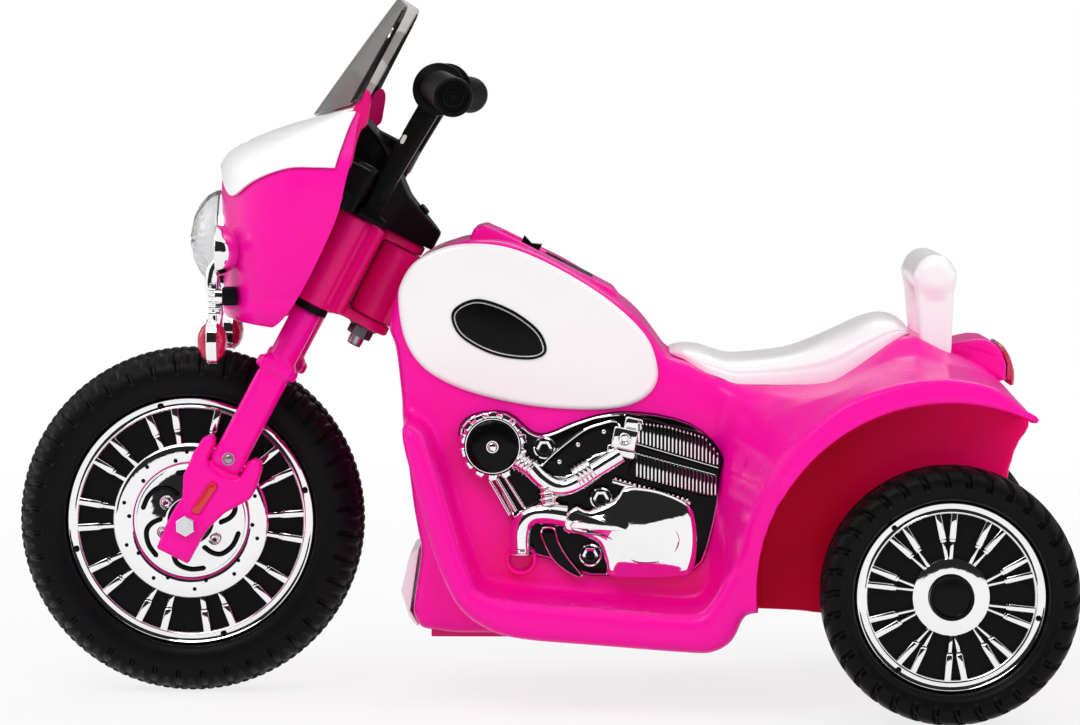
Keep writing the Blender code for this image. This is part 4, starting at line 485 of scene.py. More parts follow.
# A moulded or plated surface: the colour drifts between two tones, the gloss varies in patches and fine grain
# lifts the normal. grain is the size of the grain in metres and depth how far it stands out.
def finish(name, tone, otherTone, roughness, spread, grain, depth, patch=0.06, metal=0.0, coat=0.0, **extra):
    look = bpy.data.materials.new(name)
    look.use_nodes = True
    tree = look.node_tree
    shader = tree.nodes["Principled BSDF"]
    place = addNode(tree, "TexCoord").outputs["Object"]

    def noise(scale, detail, rough=0.5):
        inputs = {"Vector": place, "Scale": scale, "Detail": detail, "Roughness": rough}
        return addNode(tree, "TexNoise", inputs).outputs["Fac"]

    gloss = addNode(tree, "MapRange", {"Value": noise(3.5 / patch, 6.0, 0.65), "From Min": 0.3, "From Max": 0.7,
                                       "To Min": roughness - spread, "To Max": roughness + spread})
    bump = addNode(tree, "Bump", {"Height": noise(1.0 / grain, 2.0), "Strength": 1.0, "Distance": depth})
    values = {"Base Color": mixedTones(tree, noise(1.0 / patch, 3.0), tone, otherTone),
              "Roughness": gloss.outputs["Result"], "Normal": bump.outputs["Normal"], "Metallic": metal,
              "Coat Weight": coat, "Coat Roughness": 0.08}
    for socket, value in {**values, **{key.replace("_", " "): value for key, value in extra.items()}}.items():
        feed(tree, shader.inputs[socket], value)
    return look


looks = {
    "pink": finish("pink_plastic", (0.99, 0.004, 0.385), (0.96, 0.003, 0.362), 0.24, 0.05, 0.0016, 0.00002, 0.09,
                   Specular_IOR_Level=0.16),
    # painted shade: a darker, redder copy of the pink for parts that sit in shade: the fork yoke, the steering neck,
    # the fairing's pillars and the floor pan
    "paintedShadePink": finish("pink_plastic_painted_shade", (0.86, 0.004, 0.21), (0.76, 0.003, 0.18), 0.28, 0.05, 0.0016, 0.00003,
                       0.07, Specular_IOR_Level=0.22),
    "white": finish("white_plastic", (0.95, 0.946, 0.952), (0.94, 0.935, 0.942), 0.32, 0.04, 0.0016, 0.00001, 0.08,
                    coat=0.1),
    "black": finish("black_plastic", (0.0035, 0.0035, 0.004), (0.006, 0.006, 0.0065), 0.32, 0.07, 0.0009, 0.00004,
                    0.03, Specular_IOR_Level=0.07),
    "glossBlack": finish("glossy_black_plastic", (0.0025, 0.0025, 0.003), (0.004, 0.004, 0.0045), 0.15, 0.04,
                         0.0016, 0.00001, 0.03, Specular_IOR_Level=0.1),
    "grip": finish("soft_black_grip", (0.0018, 0.0018, 0.002), (0.0032, 0.0032, 0.0036), 0.4, 0.07, 0.0006,
                   0.00008, 0.02, Specular_IOR_Level=0.09),
    "tyre": finish("moulded_tyre", (0.0035, 0.0035, 0.0045), (0.006, 0.006, 0.007), 0.38, 0.08, 0.0007, 0.00006,
                   0.03, Specular_IOR_Level=0.08),
    "chrome": finish("plated_plastic", (0.93, 0.925, 0.93), (0.88, 0.875, 0.885), 0.05, 0.025, 0.004, 0.00003,
                     0.02, metal=1.0),
    "satin": finish("satin_silver", (0.82, 0.82, 0.84), (0.74, 0.74, 0.76), 0.22, 0.05, 0.0015, 0.00002, 0.02,
                    metal=1.0),
    "steel": finish("zinc_steel", (0.5, 0.5, 0.51), (0.38, 0.38, 0.39), 0.33, 0.08, 0.0008, 0.00003, 0.01,
                    metal=1.0),
    "darkSteel": finish("oiled_steel", (0.13, 0.13, 0.135), (0.08, 0.08, 0.085), 0.35, 0.08, 0.0008, 0.00003, 0.01,
                        metal=1.0),
    "red": finish("red_lens", (0.6, 0.008, 0.065), (0.48, 0.004, 0.05), 0.1, 0.03, 0.003, 0.00002, 0.02, coat=0.3),
    "reflector": finish("red_reflector", (0.72, 0.016, 0.03), (0.6, 0.01, 0.022), 0.2, 0.04, 0.0012, 0.00012, 0.01,
                        coat=0.5),
    "clear": finish("clear_lens", (0.9, 0.9, 0.91), (0.86, 0.86, 0.87), 0.07, 0.03, 0.006, 0.00004, 0.02,
                    Transmission_Weight=0.94, IOR=1.46),
    "smoke": finish("smoked_screen", (0.5, 0.465, 0.45), (0.38, 0.35, 0.335), 0.05, 0.02, 0.006, 0.00002, 0.03,
                    Transmission_Weight=0.92, IOR=1.45),
    "tray": finish("grained_black_tray", (0.008, 0.0075, 0.0075), (0.013, 0.012, 0.012), 0.5, 0.08, 0.0005, 0.0001,
                   0.03, Specular_IOR_Level=0.08),
    "nylon": finish("white_nylon", (0.78, 0.77, 0.72), (0.7, 0.69, 0.64), 0.42, 0.06, 0.0008, 0.00003, 0.01),
}
print("finishes made:", len(looks))


# ---- body moulding, worked out as one field of distances

# The last three sizes paint shade inside the wheel arches: the margin of the painted area, then the darker red for
# its front and the lighter red for its rear.
bodySizes = {"cell": 0.0031, "soft": 0.85, "tankHalf": 0.082, "skirtHalf": 0.165, "skirtStart": 0.07,
             "arch": 0.14, "archInner": 0.1343, "tankRound": 0.011, "skirtRound": 0.0085, "fillet": 0.01,
             "lip": 0.0034, "lipAt": 0.1868, "archShadeMargin": 0.0014, "archShadeFrontTone": (0.62, 0.001, 0.03),
             "archShadeRearTone": (0.98, 0.003, 0.15)}
spineLine = np.vstack([
    through(line(-1060, 3120, -1115, 2850, -1070, 2720, -1040, 2500, -1010, 2210, -940, 1550, -870, 1160), 6),
    line(-940, 680, -880, 560, -620, 525, 1360, 525, 1360, 2300, 1130, 2560),
    through(line(980, 2640, 780, 2905, 570, 3080, 180, 3325, -190, 3485, -450, 3510, -640, 3480, -850, 3370,
                 -980, 3260, -1060, 3120), 6)[:-1]])
# The rear at successive X, then its half sections: top's edge, shoulder, flank, outer wall, belly.
rearStations = line(950, 1130, 1240, 1400, 1510, 1730, 1950, 2240, 2460, 2710, 2830, 3040, 3300, 3410, 3520,
                    3670).ravel()
rearHalves = line(
    700, 2500, 785, 2420, 789, 2000, 786, 1250, 780, 840,
    740, 2590, 800, 2515, 805, 2000, 806, 1250, 804, 820,
    760, 2518, 808, 2450, 813, 1980, 814, 1300, 812, 805,
    772, 2461, 812, 2395, 816, 1970, 817, 1280, 815, 798,
    780, 2422, 880, 2360, 1120, 1960, 1630, 1240, 1630, 790,
    790, 2416, 920, 2375, 1280, 2190, 1800, 1820, 1815, 780,
    800, 2416, 970, 2390, 1420, 2300, 1890, 2085, 1910, 770,
    800, 2436, 1000, 2430, 1460, 2410, 1900, 2345, 1920, 740,
    790, 2585, 1000, 2535, 1460, 2495, 1900, 2435, 1920, 642,
    780, 2768, 1000, 2640, 1460, 2555, 1900, 2505, 1920, 640,
    800, 2812, 1050, 2650, 1480, 2565, 1900, 2520, 1920, 640,
    880, 2690, 1200, 2605, 1520, 2570, 1900, 2535, 1920, 640,
    900, 2598, 1200, 2552, 1520, 2525, 1900, 2495, 1920, 640,
    930, 2530, 1200, 2500, 1520, 2480, 1900, 2455, 1920, 1000,
    950, 2425, 1200, 2418, 1520, 2405, 1900, 2380, 1920, 1960,
    950, 2240, 1200, 2235, 1520, 2230, 1880, 2220, 1900, 2150).reshape(-1, 5, 2)
skirtLine = np.vstack([
    through(line(-990, 2210, -960, 1980, -840, 1550, -730, 1180, -580, 840, -360, 660, -100, 580, 490, 530,
                 1150, 480, 1340, 490, 1480, 590, 1560, 810, 1670, 1180, 1890, 1590), 4),
    through(line(1740, 1800, 1510, 1210, 1410, 1030, 1310, 860, 1150, 770, 490, 810, -330, 900, -470, 1060,
                 -590, 1400, -700, 1770, -830, 2120), 4)])
# Cut out of the body: the console's well, the battery's room, the tank's and the drive's.
bodyRooms = (((-0.02, -0.02, 0.3), (0.04, 0.02, 0.42)), ((-0.0835, -0.069, 0.01), (0.131, 0.069, 0.068)),
             ((-0.014, -0.038, 0.01), (0.092, 0.038, 0.153)), ((0.156, -0.126, 0.01), (0.333, 0.126, 0.19)))


# The body's distance at each point of one half: tank, lofted haunch and footboard joined with fillets, less
# the wheel arch, the console's well and the open belly.
def bodyField(low, high, cell):
    s = bodySizes
    x, y, z = fieldGrid(low, high, cell)
    across = np.abs(y)
    tank = thickened(sideOutline(spineLine, x, z), across - s["tankHalf"], s["tankRound"])
    skirtAcross = np.maximum(across - s["skirtHalf"], s["skirtStart"] - across)
    skirt = thickened(sideOutline(skirtLine, x, z), skirtAcross, s["skirtRound"])
    rear = np.full(x.shape, 0.05)
    xs = x[:, 0, 0]
    halves = np.array([[belled(np.interp(xs, rearStations, rearHalves[:, i, k]), 4, 0.0055, cell)
                        for k in (0, 1)] for i in range(5)])
    for j in np.flatnonzero(xs > 0.092):
        half = halves[:, :, j]
        ring = np.vstack([[(-0.02, half[0, 1])], half, [(-0.02, half[4, 1])]])
        rear[j] = outlineDistance(ring, across[j], z[j])
    rear = np.maximum(rear, between(x, 0.095, 0.367))
    field = blended(blended(tank, rear, s["fillet"]), skirt, s["fillet"])
    radial = np.hypot(x - rearAxle[0], z - rearAxle[2])
    ring = np.maximum(np.hypot(radial - s["arch"] - 0.003, across - s["lipAt"]) - s["lip"], field - 0.0025)
    field = softened(field, s["soft"])
    field = carved(field, np.maximum(radial - s["arch"], s["archInner"] - across), 0.003)
    field = blended(field, ring, 0.002)
    for room in bodyRooms:
        field = np.maximum(field, -boxDistance(x, y, z, *room, 0.002))
    return field


bodyLow = (-0.1172, 0.0, 0.042)
halfField = bodyField(bodyLow, (0.374, 0.198, 0.358), bodySizes["cell"])
wholeField = np.concatenate([halfField[:, :0:-1], halfField], 1)
bodyLow = (bodyLow[0], -bodySizes["cell"] * (halfField.shape[1] - 1), bodyLow[2])
bodyShape, bodyNormals = surfaceOf(wholeField, bodyLow, bodySizes["cell"])


# The body's finish: the pink one, with shade painted inside the wheel arches: a duller red, deeper towards the front,
# and less shine there.
def pinkWithPaintedArchShade():
    s = bodySizes
    look = looks["pink"].copy()
    look.name = "pink_plastic_painted_arch_shade"
    tree = look.node_tree
    shader = tree.nodes["Principled BSDF"]
    place = addNode(tree, "SeparateXYZ", {0: addNode(tree, "TexCoord").outputs["Object"]}).outputs
    x = mathNode(tree, "SUBTRACT", place["X"], rearAxle[0])
    z = mathNode(tree, "SUBTRACT", place["Z"], rearAxle[2])
    squares = [mathNode(tree, "MULTIPLY", value, value) for value in (x, z)]
    radial = mathNode(tree, "SQRT", mathNode(tree, "ADD", *squares))
    # painted shade: the mask covers the inner walls of the wheel arches
    outward = mathNode(tree, "GREATER_THAN", mathNode(tree, "ABSOLUTE", place["Y"]), s["archInner"] - s["archShadeMargin"])
    inside = mathNode(tree, "MULTIPLY", mathNode(tree, "LESS_THAN", radial, s["arch"] + s["archShadeMargin"]), outward)
    # painted shade: darkest red at the arch's front, lighter towards its rear
    rise = mathNode(tree, "MULTIPLY", mathNode(tree, "ADD", x, 0.08), 9.0)
    share = mathNode(tree, "MINIMUM", mathNode(tree, "MAXIMUM", rise, 0.0), 1.0)
    red = mixedTones(tree, share, s["archShadeFrontTone"], s["archShadeRearTone"])
    pink = shader.inputs["Base Color"].links[0].from_socket
    mix = addNode(tree, "Mix", {"Factor": inside, "A": pink, "B": red}, data_type="RGBA")
    feed(tree, shader.inputs["Base Color"], mix.outputs["Result"])
    # painted shade: three quarters of the shine is taken away inside the arches
    shine = shader.inputs["Specular IOR Level"]
    archShadeShineCut = mathNode(tree, "MULTIPLY", inside, 0.75 * shine.default_value)
    feed(tree, shine, mathNode(tree, "SUBTRACT", shine.default_value, archShadeShineCut))
    return look


# the body's pink with shade painted into its wheel arches
looks["pinkWithPaintedArchShade"] = pinkWithPaintedArchShade()
piece("body_moulding", bodyShape, "pinkWithPaintedArchShade", "body", ["body_shell"], normals=bodyNormals)
print("body:", len(bodyShape[1]), "faces")


# ---- tank panels, badges and plated engines: made for the left side and mirrored for the right

tankEgg = through(line(-1040, 3060, -1010, 3210, -910, 3350, -720, 3450, -500, 3485, -190, 3450, 180, 3290,
                       560, 3050, 820, 2800, 910, 2580, 900, 2420, 780, 2300, 560, 2240, 180, 2240, -200, 2290,
                       -570, 2390, -840, 2540, -990, 2760), 6, True)
badgeEgg = through(line(-637, 2925, -590, 3020, -430, 3072, -200, 3000, 0, 2860, 75, 2735, 60, 2650, -70, 2615,
                        -330, 2655, -560, 2780), 8, True)
plateLine = through(line(-590, 2060, -480, 2200, -220, 2220, -40, 2080, 80, 2060, 300, 2150, 520, 2210, 780, 2220,
                         1160, 2140, 1400, 1920, 1400, 1660, 1320, 1250, 1200, 1020, 780, 995, 410, 975, 160, 1080,
                         -120, 1180, -180, 1400, -340, 1720, -500, 1800), 3, True)
upperLine = through(line(30, 1790, 310, 2050, 480, 2130, 620, 2140, 640, 1960, 420, 1880, 260, 1740), 6, True)
leafLine = through(line(40, 1330, 135, 1340, 170, 1240, 240, 1120, 345, 985, 270, 1000, 150, 1090, 80, 1200), 5, True)
finLine = through(line(765, 2165, 1000, 2130, 1270, 2055, 1400, 1900, 1388, 1770, 1320, 1585, 1000, 1665, 710, 1745,
                       735, 1900), 4, True)
coverLine = through(line(205, 1430, 300, 1520, 400, 1490, 580, 1560, 663, 1660, 860, 1655, 1050, 1595, 1165, 1520,
                         1205, 1400, 1215, 1220, 1190, 1060, 1120, 985, 800, 965, 560, 985, 520, 1100, 470, 1230,
                         340, 1290, 215, 1320), 4, True)
coverRaise = through(line(290, 1325, 530, 1290, 645, 1215, 750, 1100, 980, 1118, 1075, 1262, 980, 1405, 775, 1448,
                          670, 1392, 540, 1372, 300, 1400), 5, True)
engineSizes = {"wall": -0.0823, "plate": -0.0865, "airCentre": (-0.0325, 0.1965), "scallops": 14, "pipe": 0.0072,
               "fins": 22, "finWidth": 0.00072, "finLean": 0.0015, "bolt": 0.0062, "coverDepth": 0.013}


# A round bar round a closed path in X and Z at one Y.
def hoop(path, y, radius, steps=8, flat=1.0):
    side = unit(np.roll(path, -1, 0) - np.roll(path, 1, 0))[:, ::-1] * [-1, 1]
    angle = np.linspace(0.0, wholeTurn, steps, endpoint=False)
    x = path[:, :1] + side[:, :1] * radius * np.cos(angle)
    z = path[:, 1:] + side[:, 1:] * radius * np.cos(angle)
    return grid(np.stack([x, y + radius * flat * np.sin(angle) + 0.0 * x, z], -1), True, True)


# A domed stud: a quarter round turned about Y.
def stud(x, z, yLow, yHigh, radius, steps=16):
    dome = [(radius * math.cos(t), yLow + (yHigh - yLow) * (0.35 + 0.65 * math.sin(t)))
            for t in np.linspace(0.0, quarterTurn, 5)[:-1]]
    return turned([(0.0, yLow), (radius, yLow), *dome, (0.0, yHigh)], steps, "Y", (x, 0.0, z))


# A hexagonal ring in a round collar.
def hexBolt(x, z, y, radius):
    ring, collar = (np.column_stack([radius * np.array(reach), y - np.array(depth)]) for reach, depth in (
        ((0.62, 0.62, 0.94, 1.0, 1.0), (0.0, 0.004, 0.0046, 0.004, 0.0)),
        ((1.12, 1.16, 1.32, 1.46, 1.5), (0.0, 0.0022, 0.0028, 0.0018, 0.0))))
    return together(turned(ring, 6, "Y", (x, 0.0, z), True), turned(collar, 40, "Y", (x, 0.0, z), True))


# A stack of round rings along a short straight piece of pipe.
def ribbedCollar(startX, startZ, endX, endZ, y, radius, ribs):
    t = np.linspace(0.0, 1.0, ribs * 8 + 1)
    path = np.column_stack([startX + (endX - startX) * t, y + 0.0 * t, startZ + (endZ - startZ) * t])
    return tube(path, radius * (1.0 + 0.14 * np.cos(t * ribs * 2 * np.pi)), 20)


def flatBar(start, end, half, yLow, yHigh, rounding):
    run, rise = end[0] - start[0], end[1] - start[1]
    bar = block((-half, yHigh, -half), (math.hypot(run, rise) + half, yLow, half), rounding)
    return put(bar, about("Y", -math.degrees(math.atan2(rise, run))), (start[0], 0.0, start[1]))


# The air cleaner: a scalloped rim, a stepped disc and a cap in its middle.
def airCleaner(back):
    x, z = engineSizes["airCentre"]
    angle = np.linspace(0, wholeTurn, 168, endpoint=False)
    profile = line(0, 0, 240, 0, 256, -12, 262, -40, 262, -75, 254, -92, 236, -100, 216, -98, 207, -88,
                   0, -88) + [0, back]
    notch = np.clip(np.cos(angle * engineSizes["scallops"]) * 2.2 - 0.6, 0.0, 1.0)
    reach = np.clip((profile[:, 0] - 0.0225) / 0.002, 0.0, 1.0)[:, None]
    radial = profile[:, :1] - 0.0022 * notch * reach
    depth = profile[:, 1:] + 0.0024 * notch * reach * (profile[:, 1:] < back - 0.005)
    rim = grid(np.stack([x + radial * np.cos(angle), depth, z + radial * np.sin(angle)], -1), False, True)
    disc = turned(line(0, -80, 196, -80, 200, -110, 190, -134, 165, -146, 100, -152, 52, -153, 44, -145,
                       0, -145) + [0, back], 72, "Y", (x, 0.0, z))
    collar = turned(line(36, -140, 38, -158, 46, -158, 48, -140) + [0, back], 28, "Y", (x, 0.0, z), True)
    return rim, disc, together(stud(x, z, back - 0.014, back - 0.016, 0.0034, 28), collar)


# Cooling fins in two rows beside the slot, each with a stud at its end.
def coolingFins(back):
    width, lean = engineSizes["finWidth"], engineSizes["finLean"]
    fins = []

    def fin(x, low, high, end):
        fins.append(block((x - width, back - 0.0118, low), (x + width, back - 0.006, high), 0.0006, 2))
        fins.append(stud(x, end, back - 0.008, back - 0.0122, 0.00115, 8))

    for x in np.linspace(0.0775, 0.1365, engineSizes["fins"]):
        middle = np.interp(x, [0.0764, 0.1342], [0.1957, 0.1789])
        top = np.interp(x, [0.0765, 0.1, 0.127, 0.14], [0.2155, 0.212, 0.2042, 0.188])
        bottom = np.interp(x, [0.071, 0.1, 0.132], [0.1757, 0.1678, 0.16])
        if top - middle > 0.006:
            fin(x, middle + 0.0042, top, top - 0.0012)
        fin(x - lean, bottom, middle - 0.0042, bottom + 0.0012)
    return fins


# All that is plated on one engine, and all that is black.
def enginePieces():
    s = engineSizes
    back = s["plate"]
    rim, disc, cap = airCleaner(back)
    pipeLine = through(line(-50, 1815, 40, 1720, 160, 1655, 290, 1680, 440, 1780, 640, 1905), 8)
    pipe = tube(level(pipeLine, back - 0.008), s["pipe"], 24)
    bore = [ribbedCollar(*row, back - depth, radius, 4) for *row, depth, radius in table(
        6, -150, 1865, -35, 1790, 75, 78, 300, 1735, 420, 1810, 80, 88, 85, 1660, 105, 1490, 68, 76)]
    elbow = through(line(-114, 1165, -116, 1290, -95, 1385, -30, 1445, 80, 1460, 230, 1440), 8)
    swell = np.interp(np.linspace(0, 1, len(elbow)), [0, 0.25, 0.6, 1], [0.0074, 0.0078, 0.0082, 0.0092])
    exhaust = tube(level(elbow, back - 0.0072), swell, 26)
    tip = ribbedCollar(-0.0114, 0.115, -0.0114, 0.119, back - 0.0072, 0.0084, 1)
    lugs = [put(block((-w, back - deep, -h), (w, back - shallow, h), rounding), about("Y", 12.0), (x, 0.0, z))
            for w, h, deep, shallow, rounding, x, z in table(
                7, 95, 80, 125, 40, 16, 668, 2025, 70, 45, 95, 30, 18, 735, 2135, 110, 40, 100, 20, 16, 640, 1925)]
    slotRim = hoop(inward(line(750, 1995, 1375, 1812, 1360, 1748, 738, 1918), 0.0004), back - 0.01, 0.0007)
    cover = pad(coverLine, back, back - s["coverDepth"] + 0.0008, 0.005, 0.0042, 7, 12)
    # the line follows the cover's crown: it sits lower towards the rim
    raised = hoop(coverRaise, back - s["coverDepth"] - 0.0008, 0.00075)
    raised[0][:, 1] += 0.0006 * np.clip(np.abs(raised[0][:, 0] - 0.074) / 0.04, 0, 1.2)
    beads = [stud(0.06 + k * 0.0036, 0.1722 - k * 0.00105, back - 0.006, back - 0.0098, 0.0014, 10)
             for k in range(16)]
    rail = flatBar((0.059, 0.17), (0.115, 0.1538), 0.0016, back, back - 0.0085, 0.0008)
    struts = [tube(level(ends.reshape(2, 2), back - 0.003), 0.0017, 12) for ends in
              table(4, -300, 1730, -150, 1470, -240, 1740, -90, 1500, -350, 1700, -200, 1440)]
    rivets = [stud(x, z, back - 0.0045, back - 0.0062, 0.0019, 12) for x, z in line(511, 2073, 317, 1975, 177, 1845)]
    bolts = [hexBolt(x, z, back - depth, s["bolt"] * share) for x, z, depth, share in (
        (0.0063, 0.1947, 0.0, 1.0), (0.049, 0.1571, 0.005, 1.0), (0.0409, 0.1142, 0.003, 1.0),
        (0.0668, 0.202, 0.012, 0.55))]
    bosses = [turned([(0.0, back), (0.0098, back), (0.0095, back - h), (0.0, back - h)], 40, "Y", (x, 0.0, z))
              for x, z, h in table(3, 490, 1571, 50, 409, 1142, 30)]
    rims = [hoop(path, back - depth, 0.001) for path, depth in (
        (inward(plateLine, 0.0022), 0.0006), (upperLine, 0.0042), (leafLine, 0.0038))]
    bright = together(rim, cap, pipe, *bore, exhaust, tip, *lugs, *coolingFins(back), slotRim, cover, raised,
                      *beads, rail, *struts, *rivets, *bolts, *rims)
    dark = together(pad(plateLine, s["wall"], back - 0.0008, 0.0008, 0.0, 3, 4, 0.001),
                    pad(upperLine, back, back - 0.0045, 0.001, 0.0, 3, 3),
                    pad(leafLine, back, back - 0.004, 0.0008, 0.0, 3, 3), disc,
                    pad(finLine, back, back - 0.008, 0.002, 0.0, 4, 3),
                    flatBar((0.079, 0.195), (0.133, 0.1793), 0.0024, back - 0.006, back - 0.0108, 0.0012), *bosses)
    return bright, dark


brightEngine, darkEngine = enginePieces()
socketRing = turned(line(85, -815, 85, -890, 95, -905, 112, -905, 122, -890, 124, -815),
                    36, "Y", (-0.0114, 0.0, 0.1105), True)
tankPanel = pad(tankEgg, engineSizes["wall"], -0.0872, 0.0048, 0.0038, 9, 16)
panelFront = tankPanel[0][tankPanel[0][:, 1] < -0.085]


# A flat shape laid on the tank panel: each point moves in Y by the mean of the panel's own Y, weighted by one
# over the distance to the sixth power.
def onPanel(shape):
    points = shape[0].copy()
    gaps = (points[:, None, 0] - panelFront[None, :, 0]) ** 2 + (points[:, None, 2] - panelFront[None, :, 2]) ** 2
    share = 1.0 / (gaps + 1e-6) ** 3
    points[:, 1] += (share * panelFront[None, :, 1]).sum(1) / share.sum(1)
    return points, shape[1]


badge = onPanel(pad(badgeEgg, 0.001, -0.0013, 0.0008, 0.0, 3, 10))
badgeRing = onPanel(hoop(inward(badgeEgg, 0.0026), -0.0015, 0.0006, 8, 0.6))
for side, flip in (("left", asMade), ("right", mirrored)):
    for name, shape, look, stands, angle in (
            ("tank_panel_face_", tankPanel, "white", ["tank_panel_" + side], 60),
            ("tank_badge_", badge, "glossBlack", (), 35.0),
            ("tank_badge_line_", badgeRing, "satin", (), 35.0),
            ("engine_plating_", brightEngine, "chrome", ["engine_trim_" + side], 38),
            ("engine_plates_", darkEngine, "glossBlack", ["engine_backplate_" + side], 38),
            ("exhaust_socket_", socketRing, "pink", (), 35.0)):
        piece(name + side, flip(shape), look, "body", stands, angle)
print("engines:", len(brightEngine[1]), "faces")


# ---- wheels

frontSizes = {"lugs": 40, "lugDepth": 0.003, "steps": 720, "low": 0.0865, "high": 0.0955, "face": 0.0168,
              "top": 0.0216, "spread": 6.8, "inset": 0.003, "outset": 0.0032, "dip": 0.0007, "around": 200}
rearSizes = {"lugs": 34, "lugDepth": 0.0042, "steps": 748, "low": 0.061, "high": 0.07, "face": 0.0128,
             "top": 0.0176, "inset": 0.0028, "outset": 0.003, "dip": 0.0006, "around": 180}
spokePairs = 36.0 * np.arange(10)


# A tyre: a profile of (radius, half width) turned about Y, its tread pushed in where groove(angle, y, r) is 1.
def tyre(half, sizes, groove):
    edge = through(half, 4)
    profile = np.vstack([edge, (edge * [1, -1])[::-1][1:]])
    angle = np.linspace(0.0, wholeTurn, sizes["steps"], endpoint=False)[None, :]
    r, y = profile[:, :1], profile[:, 1:]
    along = np.gradient(profile, axis=0)
    along /= np.linalg.norm(along, axis=1)[:, None]
    normal = np.column_stack([along[:, 1], -along[:, 0]])
    normal *= np.sign((normal[:, 0] * 0.6 + normal[:, 1] * np.sign(profile[:, 1] + 1e-9)).mean())
    cut = groove(angle + 0.0 * r, y + 0.0 * angle, r + 0.0 * angle) * sizes["lugDepth"]
    r = r - cut * np.abs(normal[:, :1])
    y = y - cut * np.abs(normal[:, 1:]) * np.sign(y)
    return grid(np.stack([r * np.cos(angle), y, r * np.sin(angle)], -1), True, True)


# How far a beat is from the middle of its own whole step.
def offBeat(beat):
    return np.abs(beat - np.floor(beat) - 0.5)


# Front tread: shoulder lugs parted by tapering slots, a pointed notch in each, and a fine grid on the crown.
def frontGroove(angle, y, r):
    beat = angle * frontSizes["lugs"] / wholeTurn
    outer, tip = np.clip(r - 0.115, 0, 1), np.clip(r - 0.122, 0, 1)
    slot = ramp(r, 0.1135, 0.116) * (1 - ramp(offBeat(beat), 0.035 + 0.9 * outer * 6.0, 0.085 + outer * 6.0))
    mark = ramp(r, 0.1215, 0.1235) * (1 - ramp(offBeat(beat + 0.5), 0.03 + tip * 8.0, 0.07 + tip * 8.0)) * 0.45
    side = np.where(np.abs(y) > 0.0125, np.maximum(slot, mark), 0.0)
    cells = np.abs(np.sin(angle * 60)) ** 8 * 0.3 + np.abs(np.cos(y * np.pi / 0.005)) ** 8 * 0.3
    crown = np.where(np.abs(y) <= 0.0125, cells, 0.0)
    rib = ((np.abs(y) > 0.0112) & (np.abs(y) < 0.0138)) * 0.8
    return common(side, crown * (r > 0.126), rib * (r > 0.126))


# Rear tread: bold blocks with slanting slots that step across the crown, and a waved middle groove.
def rearGroove(angle, y, r):
    beat = angle * rearSizes["lugs"] / wholeTurn + np.sign(y) * 0.25 + np.abs(y) * 34.0
    slot = (1 - ramp(offBeat(beat), 0.1, 0.17)) * ramp(r, 0.08, 0.083)
    wave = np.abs(np.abs(y) - 0.0045 - 0.0012 * np.sin(angle * rearSizes["lugs"]))
    ring = (1 - ramp(wave, 0.0009, 0.0018)) * 0.6 * (r > 0.09)
    edge = (1 - ramp(np.abs(r - 0.0782), 0.0004, 0.0012)) * 0.18
    return common(slot * (np.abs(y) > 0.0045), ring, edge)


# A spoke lying along X, thin inside and thicker past its middle, with a nipple where it steps.
def spoke(start, end, thin, thick, sizes):
    face, top = sizes["face"], sizes["top"]
    stepAt = start + (end - start) * 0.42
    inner = block((start, -top + 0.0012, -thin), (stepAt + 0.002, -face, thin), 0.0008, 2)
    outer = block((stepAt, -top + 0.0003, -thick), (end, -face, thick), 0.0012, 3)
    nipple = ((stepAt - 0.0016, -top + 0.0006, -thick * 0.82), (stepAt + 0.0014, -face, thick * 0.82))
    return together(inner, outer, block(*nipple, 0.0006, 2))


# The bright ring between the spokes and the tyre.
def trimRing(sizes):
    face, top, low, high = -sizes["face"], -sizes["top"], sizes["low"], sizes["high"]
    profile = [(low, face), (low, top + 0.0012), (low + 0.0008, top + 0.0002), (low + 0.0016, top),
               (low + sizes["inset"], top + sizes["dip"]), (high - sizes["outset"], top + sizes["dip"]),
               (high - 0.0014, top - 0.0004), (high - 0.0004, top + 0.0002), (high, top + 0.0012), (high, face)]
    return turned(profile, sizes["around"], "Y", closed=True)


# Studs at angles round a circle, from behind the face to a little proud of it.
def circleStuds(angles, reach, top, proud, radius, steps):
    return [stud(reach * math.cos(a), reach * math.sin(a), -top + 0.001, -top - proud, radius, steps)
            for a in np.radians(angles)]


def frontTrim():
    face, top = -frontSizes["face"], -frontSizes["top"]
    steps = line(163, 6, 180, -8, 205, -8, 222, 3, 415, 3, 424, 11, 436, 11, 445, 3, 480, 0, 560, 0, 585, 4, 598, 16)
    disc = turned(np.vstack([[(0.0163, face)], steps + [0, top], [(0.06, face)]]), 180, "Y", closed=True)
    bars = [put(spoke(0.0575, 0.0885, 0.0021, 0.003, frontSizes), about("Y", -(105.0 + pair + offset)))
            for pair in spokePairs for offset in (-frontSizes["spread"], frontSizes["spread"])]
    cup = turned(line(0, 10, 30, 10, 36, -4, 50, -8, 56, 4, 0, 16) + [0, top], 28)
    bolt = together(cup, hexBolt(0.0, 0.0, top + 0.001, 0.0026))
    bolts = [put(bolt, None, (0.0228 * math.cos(a), 0.0, 0.0228 * math.sin(a)))
             for a in np.radians(143.0 + 60.0 * np.arange(6))]
    return together(trimRing(frontSizes), disc, *bars, *bolts)


# A bent slot of even width along a line of points, its ends round: a flattened tube lying in the face.
def ribbon(path, half, y):
    gone = np.concatenate([[0.0], np.cumsum(np.linalg.norm(np.diff(path, axis=0), axis=1))])
    reach = np.minimum(gone, gone[-1] - gone)
    radius = half * np.sqrt(np.clip(1.0 - np.clip(1.0 - reach / half, 0.0, 1.0) ** 2, 0.01, 1.0))
    return tube(level(path, y), radius, 10, flat=0.35)


